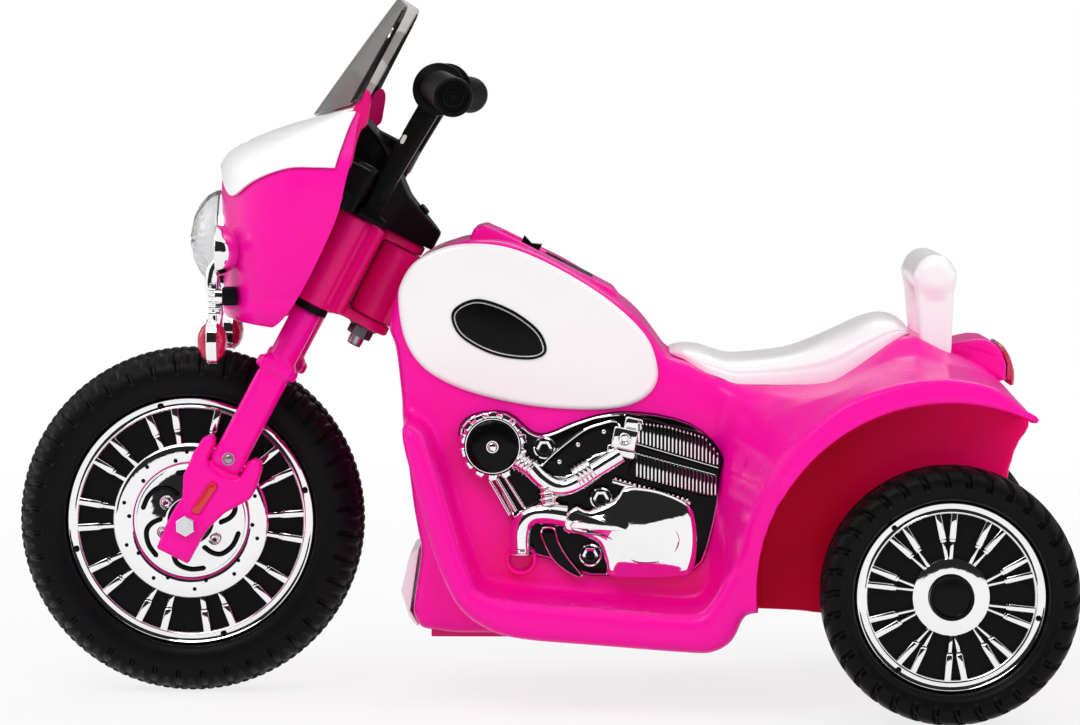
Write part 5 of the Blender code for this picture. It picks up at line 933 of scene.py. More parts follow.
def frontDarks():
    top = frontSizes["top"]
    slots = []
    for first in 114.0 + 60.0 * np.arange(6):
        bend = [(r * math.cos(math.radians(first + a)), r * math.sin(math.radians(first + a)))
                for r, a in ((0.021, 0.0), (0.03, 10.0), (0.0352, 20.0), (0.0375, 36.0), (0.0383, 54.0))]
        slots.append(ribbon(through(bend, 8), 0.0021, -top + 0.0004))
    return together(*circleStuds(21.0 + spokePairs, 0.053, top, 0.00025, 0.0022, 14),
                    *circleStuds(32.0 + spokePairs, 0.0477, top, 0.00025, 0.0022, 14), *slots,
                    *circleStuds([104.5, 15.0, -74.0, -166.0], 0.091, top, 0.0005, 0.0026, 16))


def rearTrim():
    face, top = -rearSizes["face"], -rearSizes["top"]
    steps = line(105, 0, 180, -4, 240, 0, 280, 6, 290, 20)
    disc = turned(np.vstack([[(0.0105, face)], steps + [0, top], [(0.029, face)]]), 120, "Y", closed=True)
    bars = []
    for middle in 93.6 + spokePairs:
        for sign in (-1, 1):
            a, b = math.radians(middle + sign * 2.9), math.radians(middle + sign * 5.8)
            start = 0.0275 * np.array([math.cos(a), math.sin(a)])
            end = 0.0625 * np.array([math.cos(b), math.sin(b)])
            bar = spoke(0.0, float(np.linalg.norm(end - start)), 0.0014, 0.0026, rearSizes)
            lean = math.degrees(math.atan2(end[1] - start[1], end[0] - start[0]))
            bars.append(put(bar, about("Y", -lean), (start[0], 0.0, start[1])))
    return together(trimRing(rearSizes), disc, *bars)


frontHalf = line(66, 306, 150, 310, 162, 290, 166, 180, 190, 163, 500, 163, 920, 163, 955, 180, 966, 235,
                 985, 268, 1040, 292, 1110, 300, 1180, 288, 1240, 255, 1290, 195, 1318, 130, 1328, 65, 1329.6, 0)
rearHalf = line(95, 180, 160, 182, 180, 165, 184, 130, 210, 123, 480, 123, 690, 123, 705, 160, 712, 215, 730, 255,
                780, 290, 840, 299, 890, 285, 925, 240, 943, 170, 949, 90, 950, 0)
frontTyre = tyre(frontHalf, frontSizes, frontGroove)
rearTyre = tyre(rearHalf, rearSizes, rearGroove)
rearDarks = together(*circleStuds([129.4, -13.5, -125.6], 0.0655, rearSizes["top"], 0.0004, 0.0022, 14))
hubCap = turned(line(0, -186, 150, -186, 163, -200, 166, -250, 163, -266, 155, -273, 143, -273, 136, -262,
                     128, -258, 70, -263, 0, -265), 72)
piece("front_tyre", put(frontTyre, None, frontAxle), "tyre", "front_wheel_set", ["front_wheel"], 50)
for side, flip, sign in (("left", asMade, -1), ("right", mirrored, 1)):
    rearCentre = rearAxle + [0.0, sign * 0.185, 0.0]
    for name, shape, look, stands, angle in (
            ("front_wheel_plating_", flip(frontTrim()), "chrome", ["front_trim_" + side], 38),
            ("front_wheel_slots_", flip(frontDarks()), "glossBlack", (), 35.0),
            ("rear_tyre_", rearTyre, "tyre", ["rear_wheel_" + side], 50),
            ("rear_wheel_plating_", flip(rearTrim()), "chrome", ["rear_trim_" + side], 38),
            ("rear_wheel_screws_", flip(rearDarks), "glossBlack", (), 35.0),
            ("hub_cap_face_", flip(hubCap), "glossBlack", ["hub_cap_" + side], 30)):
        front = name.startswith("front")
        centre, body = (frontAxle, "front_wheel_set") if front else (rearCentre, side + "_wheel_set")
        piece(name + side, put(shape, None, centre), look, body, stands, angle)
print("wheels:", len(frontTyre[1]), "and", len(rearTyre[1]), "faces in the tyres")


# ---- fork, yoke, dash and handlebar: fields in the raked frame, with a as the distance out from the middle

forkSizes = {"cell": 0.0011, "leg": 0.052, "axle": 0.188, "back": 0.0465, "tube": 0.011, "sleeve": 0.014,
             "legU": -0.0415, "set": 0.005, "drop": 0.0052}
castingLine = line(-120, -212, 150, -205, 150, 100, 190, 270, 292, 455, 285, 560, 262, 700, 230, 745, 175, 755,
                   140, 700, 140, 570, -140, 570, -140, 690, -165, 745, -215, 750, -250, 700, -262, 560, -235, 380,
                   -150, 230, -150, 100)
armLine = line(-400, 822, -235, 822, -262, 1120, -262, 1194, -244, 1519, -226, 1808, -205, 1960, -240, 2060,
               -320, 2090, -400, 2050, -425, 1960, -396, 1800, -405, 1560, -417, 1312, -421, 1110)


# One leg: the casting round the axle with its raised and dished parts, the slider, its ring and lugs, the tube.
def legField():
    s = forkSizes
    low = (-0.033, 0.037, -0.031)
    u, a, v = fieldGrid(low, (0.034, 0.067, 0.232), s["cell"])
    v = v + s["drop"]
    out = a - s["leg"]
    deep = np.abs(out)
    casting = thickened(sideOutline(castingLine, u, v), deep - 0.0098, 0.0034)
    panel = sideOutline(line(-95, -160, 100, -160, 118, 100, 95, 130, -95, 130), u, v)
    panel = thickened(panel, deep - 0.0108, 0.0014)
    dish = sideOutline(line(-155, 800, -150, 600, -110, 530, 0, 505, 110, 530, 150, 600, 155, 800), u, v)
    casting = carved(casting, thickened(dish, np.maximum(0.0058 - deep, deep - 0.02), 0.0005), 0.0012)

    def box(lowU, highU, inner, outer, lowV, highV, rounding):
        return boxDistance(u, a, v, (lowU, s["leg"] - inner, lowV), (highU, s["leg"] + outer, highV), rounding)

    slider = box(-0.0124, 0.0124, 0.0118, 0.0106, 0.056, 0.14, 0.0062)
    ring = box(-0.0142, 0.0142, 0.0125, 0.0125, 0.137, 0.151, 0.0058)
    lugs = np.minimum(box(-0.0168, 0.0, 0.0042, 0.0042, 0.1385, 0.1475, 0.0026),
                      box(0.0, 0.0168, 0.0042, 0.0042, 0.1385, 0.1475, 0.0026))
    field = blended(blended(casting, panel, 0.0012), blended(slider, blended(ring, lugs, 0.0015), 0.0014), 0.0018)
    field = blended(field, np.maximum(rod(u, a, 0.0, s["leg"], s["tube"]), between(v, 0.14, 0.1926)), 0.0012)
    field = np.minimum(field, np.maximum(rod(u, a, 0.0, s["leg"], 0.0098), between(v, 0.18, 0.2285)))
    field = blended(field, np.maximum(rod(u, v, 0.0, 0.0655, 0.0062), deep - 0.011), 0.001)
    slot = sideOutline(stadium((0.0, 0.019), (0.0, 0.0415), 0.0038, 8), u, v)
    field = carved(field, thickened(slot, between(out, 0.0088, 0.02), 0.0003), 0.0008)
    return softened(field, 0.6), low, s["cell"]


# The leg's features lie a little lower and further back than its axle: its upper part leans back by "set".
def legPlace(shape, drop=0.0):
    u, a, v = (shape[0] - [0.0, 0.0, drop]).T
    back = forkSizes["set"] * np.clip((v + 0.004) / 0.05, 0.0, 1.0)
    return np.column_stack([u + back - forkSizes["back"], a, v - forkSizes["axle"]]), shape[1]


def yokeField():
    low, cell = (-0.066, -0.069, 0.002), 0.00125
    u, y, v = fieldGrid(low, (0.0225, 0.069, 0.086), cell)
    a = np.abs(y)

    def box(lowU, highU, half, lowV, highV, rounding=0.0):
        return boxDistance(u, y, v, (lowU, -half, lowV), (highU, half, highV), rounding)

    def tongue(half, lowV, highV):
        return np.maximum(blended(rod(u, y, 0.0, 0.0, half), box(-0.05, 0.0, half, -0.1, 0.2), 0.002),
                          between(v, lowV, highV))

    legs = forkSizes["legU"], forkSizes["leg"]
    sleeve = np.maximum(rod(u, a, *legs, forkSizes["sleeve"]), between(v, 0.0061, 0.0814))
    field = blended(box(-0.061, -0.0235, 0.0504, 0.006, 0.0815, 0.0022), sleeve, 0.004)
    field = blended(field, box(-0.0465, -0.0175, 0.047, 0.007, 0.08, 0.003), 0.003)
    field = blended(blended(field, tongue(0.019, 0.006, 0.014), 0.003), tongue(0.0145, 0.0735, 0.0815), 0.003)
    field = carved(field, box(-0.1, -0.029, 0.031, 0.01, 0.0775, 0.004), 0.002)
    field = carved(field, boxDistance(u, a, v, (-0.0335, 0.0578, 0.011), (-0.03, 0.06, 0.0765), 0.001), 0.001)
    room = np.maximum(rod(u, y, 0.0, 0.0, 0.0189), between(v, 0.0141, 0.0734))
    return common(softened(field, 0.7), -room, -rod(u, a, *legs, 0.0101), -rod(u, y, 0.0, 0.0, 0.0063)), low, cell


wedgeAt = table(1, -760, -678, -553, -440, -150, 160, 215).ravel()
wedgeHalf = table(1, 460, 460, 460, 440, 330, 145, 75).ravel()
wedgeTop = table(1, 1500, 1464, 1414, 1346, 1120, 990, 965).ravel()
dashSizes = {"cell": 0.00135, "top": 0.118, "base": 0.0822, "podU": -0.044, "button": 0.0049, "buttonOut": 0.0085}


# Dash: a wedge that narrows and falls towards the rider, with its back plate, bosses, side ears and round pod.
def dashField():
    s = dashSizes
    low = (-0.08, -0.11, 0.069)
    u, y, v = fieldGrid(low, (0.025, 0.11, 0.153), s["cell"])
    a = np.abs(y)

    def within(side, top, base, front, rear):
        return common(a - side, v - top, base - v, front - u - 0.15 * (v - s["base"]), u - rear)

    wedge = within(np.interp(u, wedgeAt, wedgeHalf), np.interp(u, wedgeAt, wedgeTop), s["base"], -0.064, 0.0198)
    plate = within(0.096, s["top"], s["base"], -0.064, -0.044)
    hollow = within(0.0925, s["top"] - 0.0035, 0.0782, -0.07, -0.0545)
    plate = np.maximum(plate, -np.maximum(hollow, 0.046 - a))
    bosses = np.maximum(rod(u, a, -0.05, 0.08, 0.0078), between(v, 0.0922, 0.121))
    posts = np.maximum(rod(u, a, -0.0385, 0.0415, 0.0062), between(v, s["base"], 0.118))
    ears = boxDistance(u, a, v, (-0.059, 0.095, 0.074), (-0.0545, 0.106, 0.093), 0.0018)
    strips = boxDistance(u, a, v, (-0.059, 0.09, 0.08), (-0.0545, 0.1, 0.096), 0.0018)
    pod = np.maximum(rod(u, y, s["podU"], 0.0, 0.021), between(v, 0.125, 0.145))
    field = blended(blended(wedge, plate, 0.003), blended(bosses, posts, 0.002), 0.002)
    field = blended(blended(field, pod, 0.002), np.minimum(ears, strips), 0.002)
    dial = np.maximum(rod(u, y, s["podU"], 0.0, 0.0175), 0.143 - v)
    field = softened(carved(field, dial, 0.0008), 0.7)
    for sign in (-1, 1):
        du, dy, dv = u + 0.001, y - sign * s["buttonOut"], v - 0.1056
        up = du * 0.4137 + dv * 0.9104
        out = np.sqrt(np.maximum(du ** 2 + dy ** 2 + dv ** 2 - up ** 2, 0.0))
        field = np.maximum(field, -np.maximum(out - s["button"], -0.006 - up))
    # room for the kingpin's head below
    return np.maximum(field, -np.maximum(rod(u, y, 0.0, 0.0, 0.01), v - 0.0875)), low, s["cell"]


def armField():
    low, cell = (-0.048, 0.049, 0.079), 0.0012
    u, a, v = fieldGrid(low, (-0.014, 0.0725, 0.214), cell)
    field = thickened(sideOutline(armLine, u, v), np.abs(a - 0.0605) - 0.0089, 0.0026)
    groove = np.abs(u + 0.0278 - 0.0015 * (v - 0.12) / 0.03) - 0.0007
    field = carved(field, common(groove, 0.0682 - a, between(v, 0.1, 0.178)), 0.0006)
    slot = sideOutline(stadium(*plugEnds, 0.0018, 6), u, v)
    field = carved(field, thickened(slot, np.abs(a - 0.06) - 0.03, 0.0003), 0.0008)
    base = boxDistance(u, a, v, (-0.044, 0.0505, 0.0822), (-0.019, 0.0705, 0.089), 0.0016)
    return softened(blended(field, base, 0.0015), 0.6), low, cell


plugEnds = ((-0.0374, 0.1474), (-0.0374, 0.1518))
legShape, legNormals = surfaceOf(*legField())
legShape = legPlace(legShape)
reflector = pad(stadium((0.0, 0.0195), (0.0, 0.041), 0.0033, 8), 0.0606, 0.0628, 0.0008, 0.0004, 3, 3)
reflector = legPlace(reflector, forkSizes["drop"])
screwRim = turned(line(40, 620, 40, 636, 50, 636, 52, 620), 28, "Y", (0.0, 0.0, 0.0655), True)
legScrew = legPlace(together(stud(0.0, 0.0655, 0.062, 0.064, 0.0036, 28), screwRim), forkSizes["drop"])
collarLine = line(112, 3, 139, 3, 145, 10, 145, 50, 139, 57, 112, 57)
armShape, armNormals = surfaceOf(*armField())
slotPlug = pad(stadium(*plugEnds, 0.0016, 6), 0.066, 0.0692, 0.0004, 0.0002, 2, 2)
gripRibs = [(0.0138 + 0.0006 * math.cos((h - 0.079) * 2 * math.pi / 0.0042), h)
            for h in np.linspace(0.079, 0.184, 211)]
gripLine = np.vstack([
    line(86, 699, 186, 700, 198, 710, 200, 724, 197, 740, 180, 750, 152, 755, 140, 768), gripRibs,
    line(145, 1850, 147, 1862, 147, 1888, 140, 1905, 122, 1915, 110, 1914, 104, 1900, 88, 1900, 82, 1914, 60, 1916,
         54, 1902, 36, 1902, 30, 1912, 0, 1914)])
gripPivot = np.array([-0.0735, 0.072, 0.4645])
gripSweep, gripDrop = (math.degrees(math.atan2(run, 0.118)) for run in (0.015, 0.0055))
grip = turned(gripLine, 96, "Y", (0.0, -gripPivot[1], 0.0))
grip = put(grip, about("X", -gripDrop) @ about("Z", -gripSweep), gripPivot)
for side, flip, sign in (("left", mirrored, -1), ("right", asMade, 1)):
    across = np.array([1.0, sign, 1.0])
    steered("fork_leg_casting_" + side, flip(legShape), "pink", ["fork_leg_" + side], normals=legNormals * across)
    steered("fork_reflector_" + side, flip(reflector), "reflector")
    steered("fork_screw_" + side, flip(legScrew), "steel")
    collar = turned(collarLine, 48, "Z", (forkSizes["legU"], sign * forkSizes["leg"], 0.0), True)
    steered("fork_collar_ring_" + side, collar, "black", ["fork_collar_" + side])
    steered("handlebar_arm_" + side, flip(armShape), "black", normals=armNormals * across)
    piece("grip_sleeve_" + side, flip(grip), "grip", "steering", ["grip_" + side], 40)
    steered("handlebar_slot_plug_" + side, flip(slotPlug), "nylon")
bar = turned(line(0, -700, 80, -700, 80, 700, 0, 700), 32, "Y", (gripPivot[0], 0.0, gripPivot[2]))
piece("handlebar_rod", bar, "black", "steering", ["handlebar"])
# painted shade: the yoke is in the darker copy of the pink
for name, field, look, node in (("fork_yoke_moulding", yokeField, "paintedShadePink", "fork_yoke"),
                                ("dash_moulding", dashField, "black", "dash_pod")):
    shape, normals = surfaceOf(*field())
    steered(name, shape, look, [node], normals=normals)
neck = turned(line(0, 147, 165, 147, 175, 157, 175, 719, 165, 729, 0, 729), 64, "Z")
neckWeb = block((0.0, -0.0125, 0.015), (0.04, 0.0125, 0.0725), 0.003, 4)
# painted shade: the neck is in the darker copy of the pink
piece("steering_neck", raked(together(neck, neckWeb)), "paintedShadePink", "body")
boltHead = turned(line(0, 868, 82, 867, 90, 858, 90, 818, 0, 818), 6, "Z")
shank = turned(line(0, 830, 58, 830, 58, -80, 52, -105, 0, -108), 32, "Z")
steered("kingpin_bolt", together(boltHead, shank), "steel", ["kingpin"])
nut = turned(line(63, 55, 90, 56, 98, 47, 98, -22, 90, -32, 63, -31), 6, "Z", closed=True)
washer = turned(line(63, 57, 112, 57, 116, 50, 112, 43, 63, 43), 40, "Z", closed=True)
threads = [(0.0052 + 0.0004 * (k % 2), -0.0108 + 0.0005 * k) for k in range(18)]
threads = turned([(0.0, -0.011)] + threads + [(0.0, -0.002)], 28, "Z")
steered("kingpin_nut_set", together(nut, washer, threads), "darkSteel", ["kingpin_nut"])
print("steering made")


# ---- fairing group, in the vehicle's own directions

fairingRows = table(5, -2290, 2990, -2080, 2910, 760, -2370, 2925, -1965, 2880, 860, -2412, 3030, -1800, 3060, 990,
                    -2425, 3380, -1632, 3360, 1120, -2430, 3700, -1478, 3700, 1190,
                    -2425, 3975, -1412, 3960, 1220, -2360, 4125, -1375, 4110, 1200,
                    -2170, 4240, -1348, 4240, 1160, -1870, 4350, -1330, 4370, 1120,
                    -1520, 4440, -1300, 4500, 1080)
fairingSizes = {"wall": 0.0025, "lampHole": 0.039, "lampZ": 0.349, "rows": 110, "columns": 181, "lip": 0.0022,
                "coverStand": 0.0012, "coverWall": 0.0022, "screenWall": 0.0025, "screenStand": 0.0084}
fairingTable = through(fairingRows, 12)


# The fairing's skin: each row runs from one side edge over the centre to the other, its depth following the
# cosine of the way across to the power 0.75 and its breadth the sine.
def fairingPoint(across, row):
    place = np.clip(row, 0.0, 9.0) * 12
    x, z, edgeX, edgeZ, half = (np.interp(place, np.arange(len(fairingTable)), column) for column in fairingTable.T)
    over = np.abs(np.cos(across * np.pi / 2)) ** 0.75
    return np.stack([edgeX + (x - edgeX) * over, half * np.sin(across * np.pi / 2), edgeZ + (z - edgeZ) * over], -1)


def fairingNormal(across, row):
    d = 0.02
    along = fairingPoint(np.clip(across + d, -1, 1), row) - fairingPoint(np.clip(across - d, -1, 1), row)
    up = fairingPoint(across, np.minimum(row + 0.1, 9.0)) - fairingPoint(across, np.maximum(row - 0.1, 0.0))
    return unit(np.cross(up, along))


# An open sheet given a wall: a second sheet set back along the normals, joined round every free edge.
def walled(shape, normals, wall):
    points, faces = shape
    count = len(points)
    edges = np.stack([faces, np.roll(faces, -1, 1)], -1).reshape(-1, 2)
    key = np.sort(edges, 1)
    _, index, times = np.unique(key[:, 0] * count + key[:, 1], return_index=True, return_counts=True)
    free = edges[index[times == 1]]
    rim = np.column_stack([free[:, ::-1], free + count])
    back = points - normals.reshape(-1, 3) * wall
    return np.vstack([points, back]), np.vstack([faces, faces[:, ::-1] + count, rim])


def fairingSheet():
    s = fairingSizes
    across, row = np.meshgrid(np.linspace(-1, 1, s["columns"]), np.linspace(0.0, 9.0, s["rows"]))
    normals = fairingNormal(across, row)
    # a lip runs across under the headlight: the skin steps out by lip between two rows
    lip = s["lip"] * np.clip((2.05 - row) / 0.35, 0.0, 1.0) * np.clip((row - 0.2) / 0.5, 0.0, 1.0)
    points, faces = grid(fairingPoint(across, row) + normals * lip[..., None])
    reach = np.hypot(points[:, 1], points[:, 2] - s["lampZ"])
    inside = (reach < s["lampHole"]) & (points[:, 0] < -0.19)
    faces = faces[~inside[faces].all(1)]
    used = np.zeros(len(points), bool)
    used[faces] = True
    snap = inside & used
    spread = (s["lampHole"] / np.maximum(reach[snap], 1e-6))[:, None]
    points[snap, 1:] = [0.0, s["lampZ"]] + (points[snap, 1:] - [0.0, s["lampZ"]]) * spread
    keep = np.cumsum(used) - 1
    return walled((points[used], keep[faces]), normals.reshape(-1, 3)[used], s["wall"])


def coverSheet():
    s = fairingSizes
    across, share = np.meshgrid(np.linspace(-0.97, 0.97, 151), np.linspace(0.0, 1.0, 40))
    a = np.abs(across)
    shoulder = np.where(a < 0.44, 5.35 - 0.9 * np.sin((a - 0.2) / 0.24 * np.pi / 2),
                        4.45 + 1.15 * np.minimum(1.0, (a - 0.44) / 0.36))
    edge = belled(np.where(a < 0.2, 5.35, shoulder)[0], 6, 2.6)[None, :]
    row = edge + (8.8 - edge) * share
    normals = fairingNormal(across, row)
    crease = 0.0007 * np.exp(-((row - (6.7 + 0.9 * a)) / 0.1) ** 2) * (a < 0.62)
    points = fairingPoint(across, row) + normals * (s["coverStand"] + s["coverWall"] - crease[..., None])
    return walled(grid(points), normals, s["coverWall"])


# How far up the steering axis the windscreen's lower edge meets the fairing's top.
def screenFoot(y, u):
    across = np.minimum(0.78, np.arcsin(np.minimum(1.0, np.abs(y) / fairingRows[8, 4])) * 2 / np.pi)
    start = fairingPoint(across, np.full_like(across, 8.0))
    run = fairingPoint(across, np.full_like(across, 9.0)) - start
    away = start - (steeringPoint + u[..., None] * leanU)
    slant = leanV[0] * run[..., 2] - leanV[2] * run[..., 0]
    return (away[..., 0] * run[..., 2] - away[..., 2] * run[..., 0]) / slant + fairingSizes["screenStand"]


# The windscreen at a across and h up: a sheet bowed forward in the middle, its top corners rounded down.
def screenPoint(a, h):
    half = 0.112 - 0.008 * h
    y = half * np.sin(a * 0.92 * np.pi / 2) / math.sin(0.92 * np.pi / 2)
    u = -0.0805 - (0.029 - 0.016 * h) * (1 - (y / half) ** 2)
    foot = screenFoot(y, u)
    top = 0.2415 - 0.002 * a ** 2 - 0.02 * (np.maximum(0.0, np.abs(a) - 0.72) / 0.28) ** 3
    return np.stack([u, y, foot + (top - foot) * h], -1)


def screenNormal(a, h):
    d = 0.01
    along = screenPoint(np.clip(a + d, -1, 1), h) - screenPoint(np.clip(a - d, -1, 1), h)
    up = screenPoint(a, np.clip(h + d, 0, 1)) - screenPoint(a, np.clip(h - d, 0, 1))
    return unit(np.cross(up, along))


def screenSheet(acrossEnds, heights, columns, rows, proud=0.0, bumps=0.0):
    a, h = np.meshgrid(np.linspace(*acrossEnds, columns), np.linspace(*heights, rows))
    normals = screenNormal(a, h)
    dots = bumps * np.clip(np.sin(a * 230.0) * np.sin(h * 150.0), 0.0, 1.0)
    sheet = grid(screenPoint(a, h) + normals * (proud + dots)[..., None])
    return walled(sheet, normals, fairingSizes["screenWall"] + 2 * proud)


piece("fairing_skin", fairingSheet(), "pink", "steering", ["fairing"], 40)
piece("fairing_hood", coverSheet(), "white", "steering", ["fairing_cover"], 50)
steered("windscreen_sheet", screenSheet((-1, 1), (0, 1), 121, 61), "smoke", ["windscreen"], 50)
for name, low, high in (("windscreen_edge_left", -0.995, -0.945), ("windscreen_band_left", -0.905, -0.83),
                        ("windscreen_edge_right", 0.945, 0.995), ("windscreen_band_right", 0.83, 0.905)):
    steered(name, screenSheet((low, high), (0.03, 0.965), 13, 121, 0.0003, 0.0003), "tray")
earLine = through(line(-1440, 4080, -1420, 4256, -1396, 4400, -1345, 4540, -1300, 4625, -1250, 4640, -1228, 4580,
                       -1245, 4460, -1262, 4380, -1310, 4330, -1345, 4220, -1385, 4060), 5, True)
pillar = pad(earLine, -0.101, -0.109, 0.0022, 0.0, 5, 3)
# painted shade: the pillars are in the darker copy of the pink
for side, flip in (("left", asMade), ("right", mirrored)):
    piece("fairing_pillar_" + side, flip(pillar), "paintedShadePink", "steering", (), 40)

lampAt = (0.0, 0.0, 0.349)
passingAt = (0.0, 0.0, 0.343)
turnAt = (-0.245, 0.0, 0.274)
bezel = turned(line(270, -2128, 383, -2126, 385, -2150, 385, -2418, 380, -2436, 368, -2444, 356, -2438, 350, -2420,
                    330, -2360, 270, -2260, 180, -2185, 90, -2150, 0, -2140, 0, -2128), 96, "X", lampAt)
bulb = turned(line(0, -2140, 70, -2145, 70, -2200, 85, -2230, 85, -2300, 60, -2360, 0, -2375), 36, "X", lampAt)


# Headlight lens: a dome whose inner face carries upright flutes and two ring steps.
def lensShape():
    angle = np.linspace(0, 2 * np.pi, 168, endpoint=False)[None, :]
    r = table(1, 0, 60, 120, 180, 230, 280, 315, 342, 362, 374, 378)
    outer = -0.244 - 0.0236 * np.sqrt(np.clip(1 - (r / 0.0379) ** 2, 0, 1)) ** 1.1
    ripple = 0.00045 * np.cos(r * np.sin(angle) * 2 * np.pi / 0.0052) * np.clip((0.033 - r) / 0.006, 0, 1)
    step = 0.0006 * (np.cos(r * 2 * np.pi / 0.0125) > 0.2)
    face = outer + ripple * 0.7 + step * 0.5
    back = np.minimum(outer + 0.0022 + ripple, -0.2442)
    rows = [np.stack([x + 0 * angle, r * wide * np.cos(angle), r * wide * np.sin(angle)], -1)
            for x, wide in ((face, 1.0), (back, 0.985))]
    return put(grid(np.concatenate([rows[0], rows[1][::-1]]), False, True), None, lampAt)


piece("headlight_bezel", bezel, "chrome", "steering", ["headlight_ring"])
piece("headlight_bulb", bulb, "clear", "steering")
piece("headlight_glass", lensShape(), "clear", "steering", ["headlight_lens"], 40)


# Passing lamp on its strip over the turn lamp, one set each side.
def lampSet():
    cup = turned(line(0, -2235, 60, -2236, 110, -2262, 150, -2302, 180, -2352, 193, -2398, 195, -2412, 188, -2418,
                      178, -2410, 160, -2360, 0, -2330), 56, "X", passingAt)
    facets = line(0, -2400, 70, -2406, 130, -2398, 172, -2380, 172, -2360, 0, -2350)
    strip = table(3, -2400, 0, 3330, -2440, 0, 3270, -2455, 0, 3160, -2430, 0, 3060, -2420, 0, 2960, -2435, 0, 2880)
    ribs = [block((-0.2475, -0.0058, 0.294 + 0.0044 * k), (-0.2385, 0.0058, 0.2966 + 0.0044 * k), 0.001, 2)
            for k in range(5)]
    foot = block((-0.244, -0.006, 0.303), (-0.229, 0.006, 0.313), 0.0022)
    outline = through(line(0, 172, 85, 150, 132, 95, 152, 0, 132, -95, 85, -150, 0, -172, -85, -150, -132, -95,
                           -152, 0, -132, 95, -85, 150), 4, True)
    band = put(pad(outline, -0.004, 0.004, 0.0012, 0.0, 3, 2), about("Z", 90.0), turnAt)
    stem = tube([(-0.244, 0.0, 0.29), (-0.2445, 0.0, 0.294)], 0.0042, 16)
    return together(cup, turned(facets, 12, "X", passingAt), tube(through(strip, 6), 0.0052, 16, flat=0.55), *ribs,
                    foot, band, stem)


def turnLens():
    half = [(0.0, 0.0148)] + [(0.0158 * math.sin(t) ** 0.7, 0.004 + 0.0108 * math.cos(t))
                              for t in np.linspace(0.12, np.pi / 2, 12)] + [(0.0152, 0.003)]
    profile = half + [(r, -h) for r, h in half[::-1]]
    points, faces = turned([(r * 0.97, h * 0.94) for r, h in profile], 64)
    ripple = 1.0 + 0.012 * np.cos(np.arctan2(points[:, 2], points[:, 0]) * 16)[:, None]
    return put((points * ripple * [0.72, 1, 1], faces), None, turnAt)


lampMetal = lampSet()
lampClip = block((-0.2372, -0.0082, 0.3015), (-0.2262, 0.0082, 0.3155), 0.0018)
lampLens = turnLens()
for side, sign in (("left", -1), ("right", 1)):
    for name, shape, look, stands, angle in (
            ("lamp_stalk_", lampMetal, "chrome", ["lamp_bracket_" + side], 35.0),
            ("lamp_stalk_clip_", lampClip, "black", (), 35.0),
            ("turn_lens_", lampLens, "red", ["turn_lamp_" + side], 40)):
        piece(name + side, put(shape, None, (0.0, sign * 0.075, 0.0)), look, "steering", stands, angle)
print("fairing group made")


# ---- seat, grab bar and tail lamp

seatStations = table(4, 1010, 2636, 2652, 400, 1060, 2620, 2664, 500, 1130, 2596, 2670, 600, 1240, 2524, 2660, 680,
                     1400, 2467, 2614, 740, 1510, 2428, 2606, 755, 1730, 2421, 2632, 760, 1950, 2421, 2672, 760,
                     2240, 2441, 2777, 760, 2460, 2580, 2868, 750, 2600, 2680, 2905, 740, 2710, 2760, 2895, 710,
                     2790, 2795, 2850, 660, 2822, 2800, 2812, 600)
seatSizes = {"power": 0.42, "crown": 0.0022, "dish": 0.003, "crease": 0.0008, "around": 200}


# Seat: sections across the vehicle, each rising from its base as the sine of the way round to a low power, so
# that the sides are steep and the top is nearly flat, with a hollow for the rider and a crease along the side.
def seatShape():
    s = seatSizes
    rows = through(seatStations, 10)
    a = np.linspace(0, 2 * np.pi, s["around"], endpoint=False)[None, :]
    x, base, top, half = rows[:, :1], rows[:, 1:2], rows[:, 2:3], rows[:, 3:4]
    c, d = np.cos(a), np.sin(a)
    y = half * np.sign(c) * np.abs(c) ** 0.62
    lift = np.where(d > 0, np.abs(d) ** s["power"], 0.0)
    middle = np.exp(-((x - 0.185) / 0.045) ** 2)
    inner = 1 - (y / half) ** 2
    crown, dish = s["crown"] * lift * inner * (1 - middle), s["dish"] * middle * lift * inner ** 2
    z = base + (top - base) * lift - 0.0025 * (d < 0) * np.abs(d) + crown - dish
    share = (z - base) / np.maximum(top - base, 1e-6)
    pinch = s["crease"] * np.exp(-((share - 0.42) / 0.07) ** 2) * (d > 0) * ramp(x, 0.118, 0.135)
    return sectioned(np.stack([x + 0.0 * a, y - np.sign(y) * pinch, z], -1))


# Rings of points joined one to the next, the first and the last closed to their middles.
def sectioned(points):
    first, last = (np.repeat(points[k][None].mean(1, keepdims=True), points.shape[1], 1) for k in (0, -1))
    return grid(np.concatenate([first, points, last]), False, True)


# Grab bar: a round bar across, its ends drawn in, blended into two legs with a shallow panel on their outsides.
def grabField():
    low, cell = (0.276, -0.089, 0.252), 0.0013
    x, y, z = fieldGrid(low, (0.322, 0.089, 0.344), cell)
    across = np.abs(y)
    bar = thickened(rod(x, z, 0.3005, 0.3243, 0.0157), across - 0.084, 0.011)
    leg = sideOutline(line(2930, 2560, 3118, 2560, 3130, 2700, 3140, 3000, 3148, 3240, 2852, 3240, 2862, 3080,
                           2876, 2920, 2892, 2740), x, z)
    dent = sideOutline(line(2965, 2620, 3085, 2620, 3095, 3060, 2925, 3060), x, z)
    field = blended(bar, thickened(leg, np.abs(across - 0.0722) - 0.0076, 0.0034), 0.006)
    return softened(carved(field, thickened(dent, 0.0791 - across, 0.0006), 0.001), 0.7), low, cell


